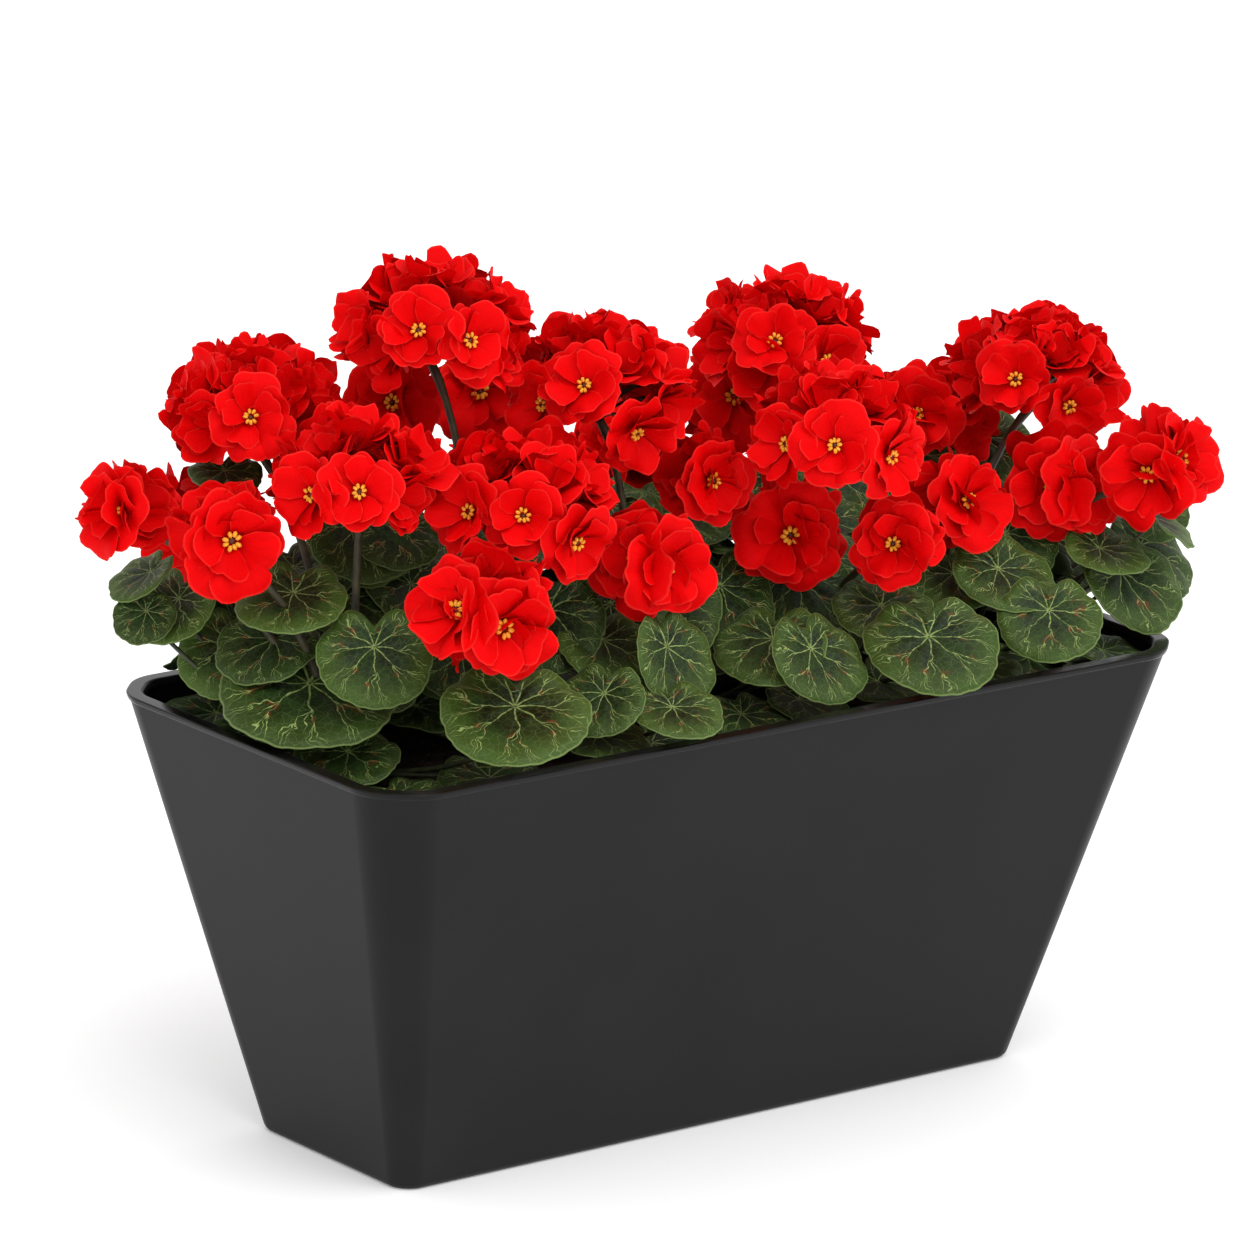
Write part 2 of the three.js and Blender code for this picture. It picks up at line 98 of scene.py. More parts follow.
# Each head: centre, reach from centre to petal tips, and the directions (heading, elevation) in
# degrees of the florets that are placed first.
FLOWER_HEADS = {
    "dome_1": ((-0.225, 0.096, 0.421), 0.056, [(-129, 20)]),
    "dome_2": ((-0.134, 0.048, 0.467), 0.058, [(-139, 25), (-99, 15)]),
    "dome_3": ((-0.042, 0.007, 0.431), 0.058, [(-141, 25), (-102, -18), (-172, 2)]),
    "dome_4": ((0.104, 0.018, 0.436), 0.056, [(-137, 25), (-98, 6)]),
    "dome_5": ((0.303, 0.023, 0.388), 0.057, [(-144, 20), (-104, -5)]),
    "dome_6": ((0.066, -0.079, 0.409), 0.054, [(-132, 12), (-174, 5), (-82, -5)]),
    "dome_7": ((-0.219, 0.001, 0.400), 0.055, [(-128, 17), (-166, 9)]),
    "dome_8": ((-0.130, -0.037, 0.383), 0.058, [(-129, 16), (-90, -11), (-170, 13)]),
    "spray_1": ((-0.292, 0.030, 0.377), 0.038, [(-115, 4)]),
    "spray_2": ((-0.314, 0.092, 0.381), 0.032, [(-168, 8)]),
    "spray_4": ((-0.192, -0.084, 0.341), 0.044, [(-168, 20), (-103, 0)]),
    "spray_5": ((-0.059, -0.065, 0.349), 0.036, [(-166, 10), (-100, 6)]),
    "spray_6": ((0.074, -0.027, 0.340), 0.038, [(-124, 6)]),
    "spray_7": ((0.114, -0.078, 0.340), 0.031, [(-136, 8)]),
    "spray_8": ((0.185, -0.046, 0.346), 0.034, [(-95, 16)]),
    "spray_9": ((0.014, -0.019, 0.380), 0.032, [(-100, 2)]),
    "spray_10": ((0.272, -0.044, 0.345), 0.038, [(-150, 2), (-90, 6)]),
    "spray_11": ((0.298, -0.099, 0.365), 0.036, [(-150, -4), (-75, 22)]),
    "spray_12": ((0.243, 0.060, 0.369), 0.032, [(-128, 10)]),
    "spray_13": ((0.122, 0.085, 0.391), 0.038, [(-128, 10)]),
    "spray_14": ((-0.117, 0.107, 0.416), 0.034, [(-128, 6)]),
    "spray_15": ((-0.043, 0.119, 0.407), 0.036, [(-128, 16)]),
    "back_1": ((-0.226, 0.135, 0.345), 0.042, [(100, 20)]),
    "back_2": ((-0.122, 0.135, 0.358), 0.044, [(80, 20)]),
    "back_3": ((-0.002, 0.135, 0.348), 0.044, [(95, 20)]),
    "back_4": ((0.084, 0.133, 0.345), 0.042, [(85, 20)]),
    "back_5": ((0.190, 0.118, 0.372), 0.044, [(90, 20)]),
    "back_6": ((0.296, 0.094, 0.350), 0.038, [(60, 20)]),
}

# Each leaf: hub, radius, and the tilt and heading in degrees towards which the blade leans.
LEAVES = [
    ((-0.268, 0.060, 0.297), 0.030, 50, -150),
    ((-0.257, -0.005, 0.288), 0.052, 25, -130),
    ((-0.234, -0.036, 0.312), 0.034, 46, -125),
    ((-0.256, 0.016, 0.338), 0.033, 25, -140),
    ((-0.169, 0.070, 0.337), 0.032, 20, -110),
    ((-0.287, 0.088, 0.321), 0.028, 40, -160),
    ((-0.300, 0.100, 0.338), 0.022, 35, 170),
    ((-0.248, -0.031, 0.255), 0.031, 20, -130),
    ((-0.188, -0.109, 0.290), 0.044, 26, -125),
    ((-0.080, -0.055, 0.300), 0.030, 30, -110),
    ((-0.063, -0.096, 0.300), 0.031, 62, -80),
    ((-0.121, -0.100, 0.285), 0.027, 40, -150),
    ((-0.085, -0.126, 0.280), 0.028, 20, -110),
    ((-0.115, -0.098, 0.262), 0.027, 15, -100),
    ((-0.154, -0.002, 0.285), 0.025, 30, -120),
    ((0.023, -0.076, 0.290), 0.034, 30, -140),
    ((0.038, -0.104, 0.287), 0.032, 45, -90),
    ((0.107, -0.078, 0.300), 0.031, 20, -120),
    ((0.105, -0.125, 0.290), 0.041, 30, -120),
    ((0.186, -0.050, 0.300), 0.027, 30, -120),
    ((0.198, -0.081, 0.308), 0.033, 30, -100),
    ((0.200, -0.120, 0.290), 0.032, 40, -125),
    ((0.273, -0.086, 0.313), 0.027, 20, -90),
    ((0.290, -0.090, 0.292), 0.036, 45, -85),
    ((0.312, -0.092, 0.327), 0.024, 35, -40),
]
# Rows of leaves: first and last hub, how many, radius, tilt and heading. SCATTER is how far each
# value may stray, in the order in which the values are drawn.
LEAF_ROWS = [
    ((-0.232, 0.108, 0.290), (0.238, 0.108, 0.290), 9, 0.036, 32, 90),
    ((-0.165, 0.042, 0.306), (0.180, 0.042, 0.306), 6, 0.033, 12, 70),
    ((0.270, 0.072, 0.292), (0.270, -0.012, 0.292), 3, 0.035, 34, 10),
]
SCATTER = {"at": 0.008, "radius": 0.004, "tilt": 7, "heading": 22}
SEED = 4259
MULTIPLIER = 16807
MODULUS = 2147483647

# ---------------------------------------------------------------- finer detail

BLEND_STEPS = 8  # points on each blend of the planter's corners
ROUND_STEPS = 5  # points on each rounded edge of its profile

BLADE_THICKNESS = 0.0007
BLADE_ANGLES = 78
BLADE_RINGS = 6
TOOTH_DEPTH = 0.020  # of a blade's radius, as the next three
PLEAT_DEPTH = 0.034  # of the folds along its veins
RUFFLE_DEPTH = 0.03  # of the waves of its lobes
DROOP = 0.03  # how far its edge hangs
HUB_BACK = 0.26  # of its radius: how far a blade's hub stands from its middle, towards the sinus
BROWN_FROM = 0.275  # leaves turn browner from this height up to the next
BROWN_TO = 0.330
FILL_LIT_SHARE = 0.35  # of an outer leaf's: how far a filling leaf turns fresh at its edge and brown; kept low, so inner leaves stay darker green as painted shade
TUBE_SIDES = 7
TUBE_STEPS = 12
# Stems' radii at their two ends, as shares of their radius in the solids.
PETIOLE_TAPER = (0.62, 1.05)
STALK_TAPER = (1.15, 0.85)
STALK_SWELL = 1.35  # of its radius at its top, where the pedicels leave
STALK_BROWN = 0.55  # how brown a stalk is
STEM_BROWN = 0.35  # how brown a pedicel is, and a petiole may be
PEDICEL_RADIUS = 0.0011
PEDICEL_SWELL = (1.0, 0.9, 0.85, 0.85, 0.9, 1.1, 1.9)  # of its radius, from the stalk to the floret
PEDICEL_LEAN = 0.45  # share of the way out at which a pedicel bends
PEDICEL_RISE = 0.15  # of the head's reach: how much higher it does so
PEDICEL_END = 0.52  # of a floret's radius: how far below the floret's origin its pedicel ends
CROWN_KNOBS = 0.14  # of a crown's radius

# Leaves that fill the plants inside the outer ones, in rows as above. A leaf in the way of a head
# or of an outer leaf is left out.
FILL_ROWS = [
    ((-0.235, -0.075, 0.248), (0.235, -0.075, 0.248), 9, 0.030, 14, -95),
    ((-0.250, 0.085, 0.250), (0.245, 0.085, 0.250), 9, 0.030, 14, 85),
    ((-0.245, 0.010, 0.262), (0.250, 0.010, 0.262), 7, 0.031, 8, -100),
    ((-0.256, -0.050, 0.247), (-0.256, 0.090, 0.247), 4, 0.026, 14, 180),
    ((-0.215, -0.010, 0.285), (0.265, -0.010, 0.285), 9, 0.033, 34, -110),
    ((-0.200, 0.030, 0.315), (0.265, 0.030, 0.315), 9, 0.033, 30, -110),
    ((-0.215, 0.070, 0.335), (0.255, 0.070, 0.335), 9, 0.034, 24, -110),
    ((-0.240, 0.100, 0.318), (0.235, 0.100, 0.318), 8, 0.033, 30, 80),
    ((0.262, -0.090, 0.250), (0.250, 0.068, 0.250), 4, 0.028, 16, 0),
    ((-0.220, 0.075, 0.272), (0.250, 0.075, 0.272), 9, 0.036, 56, -110),
    ((-0.200, 0.090, 0.312), (0.250, 0.090, 0.312), 8, 0.034, 56, -110),
    ((-0.160, -0.030, 0.305), (0.230, -0.030, 0.305), 9, 0.032, 48, -115),
    ((-0.262, -0.010, 0.300), (-0.240, 0.110, 0.300), 4, 0.032, 40, -135),
    ((-0.185, 0.045, 0.352), (-0.155, 0.045, 0.348), 2, 0.030, 45, -120),
]
# More of them, each given like an outer leaf and always kept.
FILL_LEAVES = [
    ((0.323, -0.070, 0.300), 0.033, 48, -75),
    ((0.331, -0.060, 0.326), 0.024, 52, -105),
    ((0.300, -0.012, 0.292), 0.034, 45, -110),
    ((0.316, 0.080, 0.334), 0.030, 45, -120),
    ((0.264, -0.102, 0.256), 0.022, 14, -80),
    ((-0.308, 0.085, 0.318), 0.019, 45, -140),
    ((-0.245, 0.095, 0.392), 0.022, 18, -120),
]
FILL_CLEARANCE = 0.30  # of a leaf's radius, beyond a head's reach
LEAF_CLEARANCE = 0.026  # between the hub of a filling leaf and that of any outer leaf

FLORET_SCALE = {"dome": 1.18, "spray": 1.20, "back": 1.18}  # of the solids, whose petals are flat
FILL_SPACING = 0.61  # of the solids' spacing: how close the florets between them may stand
FILL_SIZE = 0.97  # of the other florets' size
FILL_SINK = 0.14  # of a floret's radius: how much deeper the florets between stand
STRAY = 12  # degrees by which a floret may face away from its solid's direction
LIFT = 0.10  # of its radius: how far a floret may stand out or in
OPEN_EVERY = 4  # of the solids' florets past the first ones, one in so many is open
FILL_LOWER = 14  # degrees: how much lower than the solids' the florets between them start
CUP = (0.25, 0.50)  # how much higher, in radii, the petals of all but the first florets reach
CUP_SINK = 0.44  # of its radius: how much deeper a cupped floret stands
# Rings of petals in a floret of radius 1, from the outer ring in. half is a petal's half width
# as an angle, throat and tip are heights, and steep shapes the bowl between them.
OUTER_RING = {
    "count": 6, "length": 1.0, "half": 0.82, "throat": -0.34, "tip": 0.05, "steep": 1.9,
    "curl": 0.18, "cross": -0.10, "roll": 0.08, "ruffle": 0.105, "rows": 9, "columns": 15,
}
INNER_RING = {
    "count": 5, "length": 0.74, "half": 0.84, "throat": -0.31, "tip": 0.24, "steep": 1.3,
    "curl": 0.12, "cross": -0.04, "roll": 0.14, "ruffle": 0.130, "rows": 8, "columns": 12,
}
HEART_RING = {
    "count": 3, "length": 0.50, "half": 1.10, "throat": -0.30, "tip": 0.24, "steep": 1.2,
    "curl": 0.08, "cross": -0.02, "roll": 0.10, "ruffle": 0.060, "rows": 6, "columns": 9,
}
PETAL_START = 0.012  # of the floret's radius: how far from its axis a petal starts
PETAL_CORNER = 0.52  # of a petal's length: how far out its sides reach
LOBE_DEPTH = 0.100  # of a petal's length: the rounded lobes along its edge
ANTHERS = 8
ANTHER_SIZE = 0.050  # of the floret's radius, as the next two
ANTHER_RING = 0.108
HEART_LIFT = 0.17  # how far the stamens stand above the throat

rng = random.Random(SEED)


def direction(heading, elevation):
    """A unit vector from a heading about +Z, counted from +X, and an elevation, in degrees."""
    h, e = math.radians(heading), math.radians(elevation)
    return Vector((math.cos(e) * math.cos(h), math.cos(e) * math.sin(h), math.sin(e)))


def smooth(t):
    t = np.clip(t, 0.0, 1.0)
    return t * t * (3 - 2 * t)


# ---------------------------------------------------------------- mesh building


class Piece:
    """Gathers the surfaces of one piece, with a UV and three numbers for each point that the
    materials read: how near it is to its edge, a random number of its own, and which side."""

    def __init__(self):
        self.points, self.uvs, self.info = [], [], []
        self.faces, self.materials = [], []
        self.total = 0

    def add(self, points, faces, uv=(0, 0), info=(0, 0, 0), material=0):
        points = np.asarray(points, float)
        self.points.append(points)
        self.uvs.append(np.broadcast_to(np.asarray(uv, float), (len(points), 2)))
        self.info.append(np.broadcast_to(np.asarray(info, float), (len(points), 3)))
        self.faces.extend(tuple(i + self.total for i in face) for face in faces)
        self.materials.extend([material] * len(faces))
        self.total += len(points)

    def build(self, name, materials, replaces=()):
        mesh = bpy.data.meshes.new(name)
        mesh.from_pydata(np.concatenate(self.points).tolist(), [], self.faces)
        loops = np.empty(len(mesh.loops), np.int32)
        mesh.loops.foreach_get("vertex_index", loops)
        layer = mesh.uv_layers.new(name="UVMap")
        layer.data.foreach_set("uv", np.concatenate(self.uvs)[loops].astype(np.float32).ravel())
        info = mesh.attributes.new("info", "FLOAT_VECTOR", "POINT")
        info.data.foreach_set("vector", np.concatenate(self.info).astype(np.float32).ravel())
        mesh.polygons.foreach_set("material_index", np.array(self.materials, np.int32))
        mesh.polygons.foreach_set("use_smooth", np.ones(len(mesh.polygons), bool))
        for material in materials:
            mesh.materials.append(material)
        mesh.update()
        piece = bpy.data.objects.new(name, mesh)
        bpy.context.scene.collection.objects.link(piece)
        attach(piece, "root")
        if replaces:
            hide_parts(*replaces)
        return piece


def grid_faces(rows, columns, closed=False):
    """Quads over rows of points; closed joins each row's last point to its first."""
    across = columns if closed else columns - 1
    faces = []
    for row in range(rows - 1):
        for column in range(across):
            a = row * columns + column
            b = row * columns + (column + 1) % columns
            faces.append((a, b, b + columns, a + columns))
    return faces


def tube(piece, path, radii, info, material):
    """A round tube along a path, closed at both ends."""
    path = np.asarray(path, float)
    tangents = np.gradient(path, axis=0)
    tangents /= np.linalg.norm(tangents, axis=1)[:, None]
    across = np.cross(tangents[0], (0.31, 0.62, 0.07))
    rings = []
    for point, tangent, radius in zip(path, tangents, radii):
        across = across - tangent * (across @ tangent)
        across /= np.linalg.norm(across)
        other = np.cross(tangent, across)
        for i in range(TUBE_SIDES):
            angle = 2 * math.pi * i / TUBE_SIDES
            rings.append(point + radius * (math.cos(angle) * across + math.sin(angle) * other))
    count = len(path)
    faces = grid_faces(count, TUBE_SIDES, closed=True)
    faces.append(tuple(reversed(range(TUBE_SIDES))))
    faces.append(tuple(range((count - 1) * TUBE_SIDES, count * TUBE_SIDES)))
    share = np.repeat(np.linspace(0, 1, count), TUBE_SIDES)
    around = np.tile(np.arange(TUBE_SIDES) / TUBE_SIDES, count)
    piece.add(rings, faces, np.column_stack([share, around]), info, material)


def bezier(a, b, c, steps):
    t = np.linspace(0, 1, steps)[:, None]
    a, b, c = (np.array(p, float) for p in (a, b, c))
    return (1 - t) ** 2 * a + 2 * t * (1 - t) * b + t**2 * c


# ---------------------------------------------------------------- materials


class Nodes:
    """A new material's node tree, with short calls for its nodes."""

    def __init__(self, name):
        self.material = bpy.data.materials.new(name)
        self.material.use_nodes = True
        self.tree = self.material.node_tree
        self.shader = self.tree.nodes["Principled BSDF"]

    def link(self, value, socket):
        if isinstance(value, bpy.types.NodeSocket):
            self.tree.links.new(value, socket)
        else:
            socket.default_value = value

    def math(self, operation, a, b=0.0, c=0.0):
        node = self.tree.nodes.new("ShaderNodeMath")
        node.operation = operation
        for value, socket in zip((a, b, c), node.inputs):
            self.link(value, socket)
        return node.outputs[0]

    def times(self, a, b):
        return self.math("MULTIPLY", a, b)

    def ramp(self, value, low, high, start=0.0, end=1.0):
        """The value taken smoothly from start at low to end at high."""
        node = self.tree.nodes.new("ShaderNodeMapRange")
        node.interpolation_type = "SMOOTHSTEP"
        for wanted, socket in zip((value, low, high, start, end), node.inputs):
            self.link(wanted, socket)
        return node.outputs[0]

    def mix(self, share, a, b):
        node = self.tree.nodes.new("ShaderNodeMix")
        node.data_type = "RGBA"
        self.link(share, node.inputs[0])
        self.link(a if isinstance(a, bpy.types.NodeSocket) else (*a, 1), node.inputs[6])
        self.link(b if isinstance(b, bpy.types.NodeSocket) else (*b, 1), node.inputs[7])
        return node.outputs[2]

    def noise(self, where, scale, detail=2.0, w=None):
        node = self.tree.nodes.new("ShaderNodeTexNoise")
        if w is not None:
            node.noise_dimensions = "4D"
            self.link(w, node.inputs["W"])
        self.link(where, node.inputs["Vector"])
        node.inputs["Scale"].default_value = scale
        node.inputs["Detail"].default_value = detail
        return node.outputs[0]

    def place(self):
        return self.tree.nodes.new("ShaderNodeTexCoord").outputs["Object"]

    def uv(self):
        node = self.tree.nodes.new("ShaderNodeUVMap")
        node.uv_map = "UVMap"
        return node.outputs[0]

    def scaled(self, vector, scale, shift=(0, 0, 0)):
        """The vector times a scale, part by part, plus a shift."""
        node = self.tree.nodes.new("ShaderNodeVectorMath")
        node.operation = "MULTIPLY_ADD"
        self.link(vector, node.inputs[0])
        node.inputs[1].default_value = scale
        node.inputs[2].default_value = shift
        return node.outputs[0]

    def parts(self, vector):
        node = self.tree.nodes.new("ShaderNodeSeparateXYZ")
        self.link(vector, node.inputs[0])
        return node.outputs

    def info(self):
        node = self.tree.nodes.new("ShaderNodeAttribute")
        node.attribute_name = "info"
        return self.parts(node.outputs["Vector"])

    def bump(self, height, strength, distance):
        node = self.tree.nodes.new("ShaderNodeBump")
        node.inputs["Strength"].default_value = strength
        node.inputs["Distance"].default_value = distance
        self.link(height, node.inputs["Height"])
        self.link(node.outputs[0], self.shader.inputs["Normal"])

    def finish(self, colour, roughness, **sockets):
        base = colour if isinstance(colour, bpy.types.NodeSocket) else (*colour, 1)
        self.link(base, self.shader.inputs["Base Color"])
        self.link(roughness, self.shader.inputs["Roughness"])
        for name, value in sockets.items():
            self.shader.inputs[name.replace("_", " ")].default_value = value
        return self.material


def planter_material(name, shade, specular, roughness):
    n = Nodes(name)
    where = n.place()
    cloud = n.noise(where, 9.0, 3.0)
    grain = n.noise(where, 900.0, 2.0)
    tones = [(0.92 * shade, 0.92 * shade, 0.94 * shade), (1.08 * shade, 1.08 * shade, 1.10 * shade)]
    colour = n.mix(n.ramp(cloud, 0.35, 0.65), *tones)
    n.bump(grain, 0.12, 0.0004)
    worn = n.ramp(cloud, 0.3, 0.7, roughness, roughness + 0.07)
    return n.finish(colour, worn, Specular_IOR_Level=specular)


def soil_material():
    n = Nodes("soil_crumbs")
    where = n.place()
    patches = n.noise(where, 55.0, 4.0)
    specks = n.noise(where, 420.0, 2.0)
    dark = n.mix(n.ramp(patches, 0.35, 0.65), (0.010, 0.007, 0.005), (0.035, 0.022, 0.014))
    colour = n.mix(n.ramp(specks, 0.66, 0.72), dark, (0.11, 0.085, 0.06))
    n.bump(specks, 0.6, 0.002)
    return n.finish(colour, 0.95, Specular_IOR_Level=0.2)


VEINS = 9
GREENS = {
    "deep": (0.0036, 0.0105, 0.0018),
    "mid": (0.0145, 0.039, 0.0060),
    "fresh": (0.088, 0.158, 0.021),
    "under": (0.035, 0.060, 0.018),
    "brown": (0.024, 0.013, 0.004),
    "vein": (0.36, 0.47, 0.15),
    "rust": (0.17, 0.030, 0.010),
}


def leaf_veins(n, spot, radius, edge, seed):
    """Veins that radiate from the hub and fork twice, as a share of full strength, and how far a
    point is from the first fork. The spot and the radius are in blade radii from the hub."""
    x, y, _ = n.parts(spot)
    bend = n.math("SUBTRACT", n.noise(spot, 3.2, 2.0, seed), 0.5)
    angle = n.math("ADD", n.math("ARCTAN2", y, x), n.times(bend, 0.55))
    sector = n.math("FRACT", n.math("ADD", n.times(angle, VEINS / math.tau), 9.5))
    aside = n.math("ABSOLUTE", n.math("SUBTRACT", sector, 0.5))
    lateral = n.times(n.times(aside, math.tau / VEINS), radius)

    def line(distance, width, starts, ends):
        """A vein where distance is near zero, between two shares of the way to the edge."""
        body = n.ramp(distance, n.times(width, 0.4), width, 1.0, 0.0)
        begun = n.ramp(edge, starts, starts + 0.03)
        goes_on = n.ramp(edge, ends, ends + 0.2, 1.0, 0.0)
        return n.times(n.times(body, begun), goes_on)

    def fork(distance, starts, spread):
        away = n.times(n.math("SUBTRACT", edge, starts), spread)
        return n.math("ABSOLUTE", n.math("SUBTRACT", distance, away))

    main_width = n.ramp(radius, 0.0, 0.9, 0.016, 0.007)
    first = fork(lateral, 0.40, 0.42)
    second = fork(first, 0.64, 0.30)
    veins = n.math("MAXIMUM", line(lateral, main_width, 0.0, 0.62), line(first, 0.008, 0.40, 0.84))
    veins = n.math("MAXIMUM", veins, line(second, 0.006, 0.64, 0.84))
    broken = n.ramp(n.noise(spot, 16.0, 2.0, seed), 0.34, 0.58, 0.25, 1.0)
    return n.times(veins, broken), first


def leaf_material():
    """Green blades with a net of pale veins, rusty dashes where the veins fork, and a brown zone
    round the hub of some."""
    n = Nodes("leaf")
    edge, own, side = n.info()
    spot = n.scaled(n.uv(), (4, 4, 0), (-2, -2, 0))
    x, y, _ = n.parts(spot)
    radius = n.math("SQRT", n.math("ADD", n.times(x, x), n.times(y, y)))
    seed = n.times(own, 37.0)
    veins, first = leaf_veins(n, spot, radius, edge, seed)

    mottle = n.noise(spot, 4.0, 5.0, seed)
    speckle = n.noise(spot, 46.0, 3.0, seed)
    green = n.mix(n.ramp(mottle, 0.32, 0.68), GREENS["deep"], GREENS["mid"])
    towards_edge = n.times(n.ramp(edge, 0.35, 1.0), n.ramp(own, 0.0, 1.0, 0.15, 0.75))
    green = n.mix(towards_edge, green, GREENS["fresh"])
    green = n.mix(n.times(n.ramp(speckle, 0.55, 0.75), 0.35), green, GREENS["fresh"])
    zone = n.times(n.ramp(radius, 0.30, 0.75, 1.0, 0.0), n.ramp(own, 0.45, 0.9, 0.0, 0.85))
    green = n.mix(zone, green, GREENS["brown"])
    net = n.tree.nodes.new("ShaderNodeTexVoronoi")
    net.feature = "DISTANCE_TO_EDGE"
    n.link(spot, net.inputs["Vector"])
    net.inputs["Scale"].default_value = 9.0
    netted = n.times(n.ramp(net.outputs["Distance"], 0.0, 0.05, 1.0, 0.0), 0.12)
    green = n.mix(netted, green, GREENS["vein"])
    near_fork = n.times(n.ramp(first, 0.0, 0.06, 1.0, 0.0), n.ramp(edge, 0.42, 0.50))
    near_fork = n.times(near_fork, n.ramp(edge, 0.62, 0.78, 1.0, 0.0))
    rust = n.times(near_fork, n.ramp(n.noise(spot, 5.0, 1.0, seed), 0.53, 0.63))
    green = n.mix(n.times(rust, 0.8), green, GREENS["rust"])
    green = n.mix(n.times(veins, 0.80), green, GREENS["vein"])
    green = n.mix(n.times(n.ramp(edge, 0.97, 0.995), 0.35), green, GREENS["vein"])
    colour = n.mix(side, green, GREENS["under"])

    height = n.math("ADD", n.times(veins, -0.6), n.times(speckle, 0.5))
    n.bump(height, 0.5, 0.0010)
    return n.finish(colour, n.ramp(mottle, 0.3, 0.7, 0.42, 0.56), Specular_IOR_Level=0.20)


def stem_material():
    n = Nodes("stem")
    _, _, side = n.info()
    patches = n.noise(n.place(), 120.0, 3.0)
    green = n.mix(n.ramp(patches, 0.35, 0.65), (0.014, 0.025, 0.007), (0.040, 0.060, 0.017))
    brown = n.mix(n.ramp(patches, 0.35, 0.65), (0.030, 0.016, 0.008), (0.075, 0.038, 0.018))
    n.bump(patches, 0.3, 0.0008)
    return n.finish(n.mix(side, green, brown), 0.55)


def petal_material():
    """Velvety scarlet, darker towards the throat as painted shade in the floret's hollow, with a thin
    paler edge as a painted highlight.
    """
    n = Nodes("petal")
    edge, own, _ = n.info()
    along, _, _ = n.parts(n.uv())
    seed = n.times(own, 53.0)
    streaks = n.noise(n.scaled(n.uv(), (1.5, 13.0, 0)), 1.6, 2.0, seed)
    # Darker red towards the throat: painted shade in the floret's hollow.
    red = n.mix(n.ramp(along, 0.05, 0.50), (0.42, 0.0004, 0.0010), (0.79, 0.0006, 0.0016))
    red = n.mix(n.times(n.ramp(streaks, 0.42, 0.72), 0.4), red, (0.60, 0.0004, 0.0012))
    red = n.mix(n.times(n.ramp(own, 0.2, 1.0), 0.3), red, (0.62, 0.0004, 0.0014))
    # A thin paler edge: painted highlight standing in for the velvet's sheen.
    red = n.mix(n.times(n.ramp(edge, 0.94, 0.99), 0.35), red, (0.90, 0.045, 0.032))
    n.bump(streaks, 0.18, 0.0008)
    return n.finish(red, 0.62, Specular_IOR_Level=0.05)


def anther_material():
    n = Nodes("anther")
    _, _, side = n.info()
    grain = n.noise(n.place(), 900.0, 2.0)
    gold = n.mix(n.ramp(grain, 0.35, 0.65), (0.80, 0.29, 0.008), (0.92, 0.52, 0.035))
    n.bump(grain, 0.4, 0.0004)
    return n.finish(n.mix(side, gold, (0.10, 0.012, 0.004)), 0.6)


# ---------------------------------------------------------------- planter and soil


def outline(inset, z, steps=BLEND_STEPS):
    """The planter's outline at a height, moved in from its outer wall by an inset: a rectangle
    whose corners are facets with a blend at each end, anticlockwise from the +X wall."""
    share = z / HEIGHT
    half_length = RIM_LENGTH / 2 - LIP_OVERHANG - TAPER * (1 - share) - inset
    half_depth = RIM_DEPTH / 2 - LIP_OVERHANG - TAPER * (1 - share) - inset
    leg = FACET_LEG_BASE + (FACET_LEG_TOP - FACET_LEG_BASE) * share - inset * (2 - math.sqrt(2))
    blend = BLEND_BASE + (BLEND_TOP - BLEND_BASE) * share - inset
    reach = blend * math.tan(math.pi / 8)
    angles = [i / steps * math.pi / 4 for i in range(steps + 1)]
    inwards = [blend * (1 - math.cos(a)) for a in angles]
    back = [leg + reach - blend * math.sin(a) for a in angles]
    quarter = [(half_length - i, half_depth - b) for i, b in zip(inwards, back)]
    quarter += [(half_length - b, half_depth - i) for i, b in zip(inwards[::-1], back[::-1])]
    points = []
    for sign_x, sign_y in ((1, 1), (-1, 1), (-1, -1), (1, -1)):
        turned = [(sign_x * x, sign_y * y, z) for x, y in quarter]
        points += turned if sign_x == sign_y else turned[::-1]
    return points


def rounded(centre, radius, start, end, steps=ROUND_STEPS):
    """Points (inset, height) of an arc about a centre, between two angles in degrees."""
    angles = np.radians(np.linspace(start, end, steps))
    return [(centre[0] + radius * math.cos(a), centre[1] + radius * math.sin(a)) for a in angles]


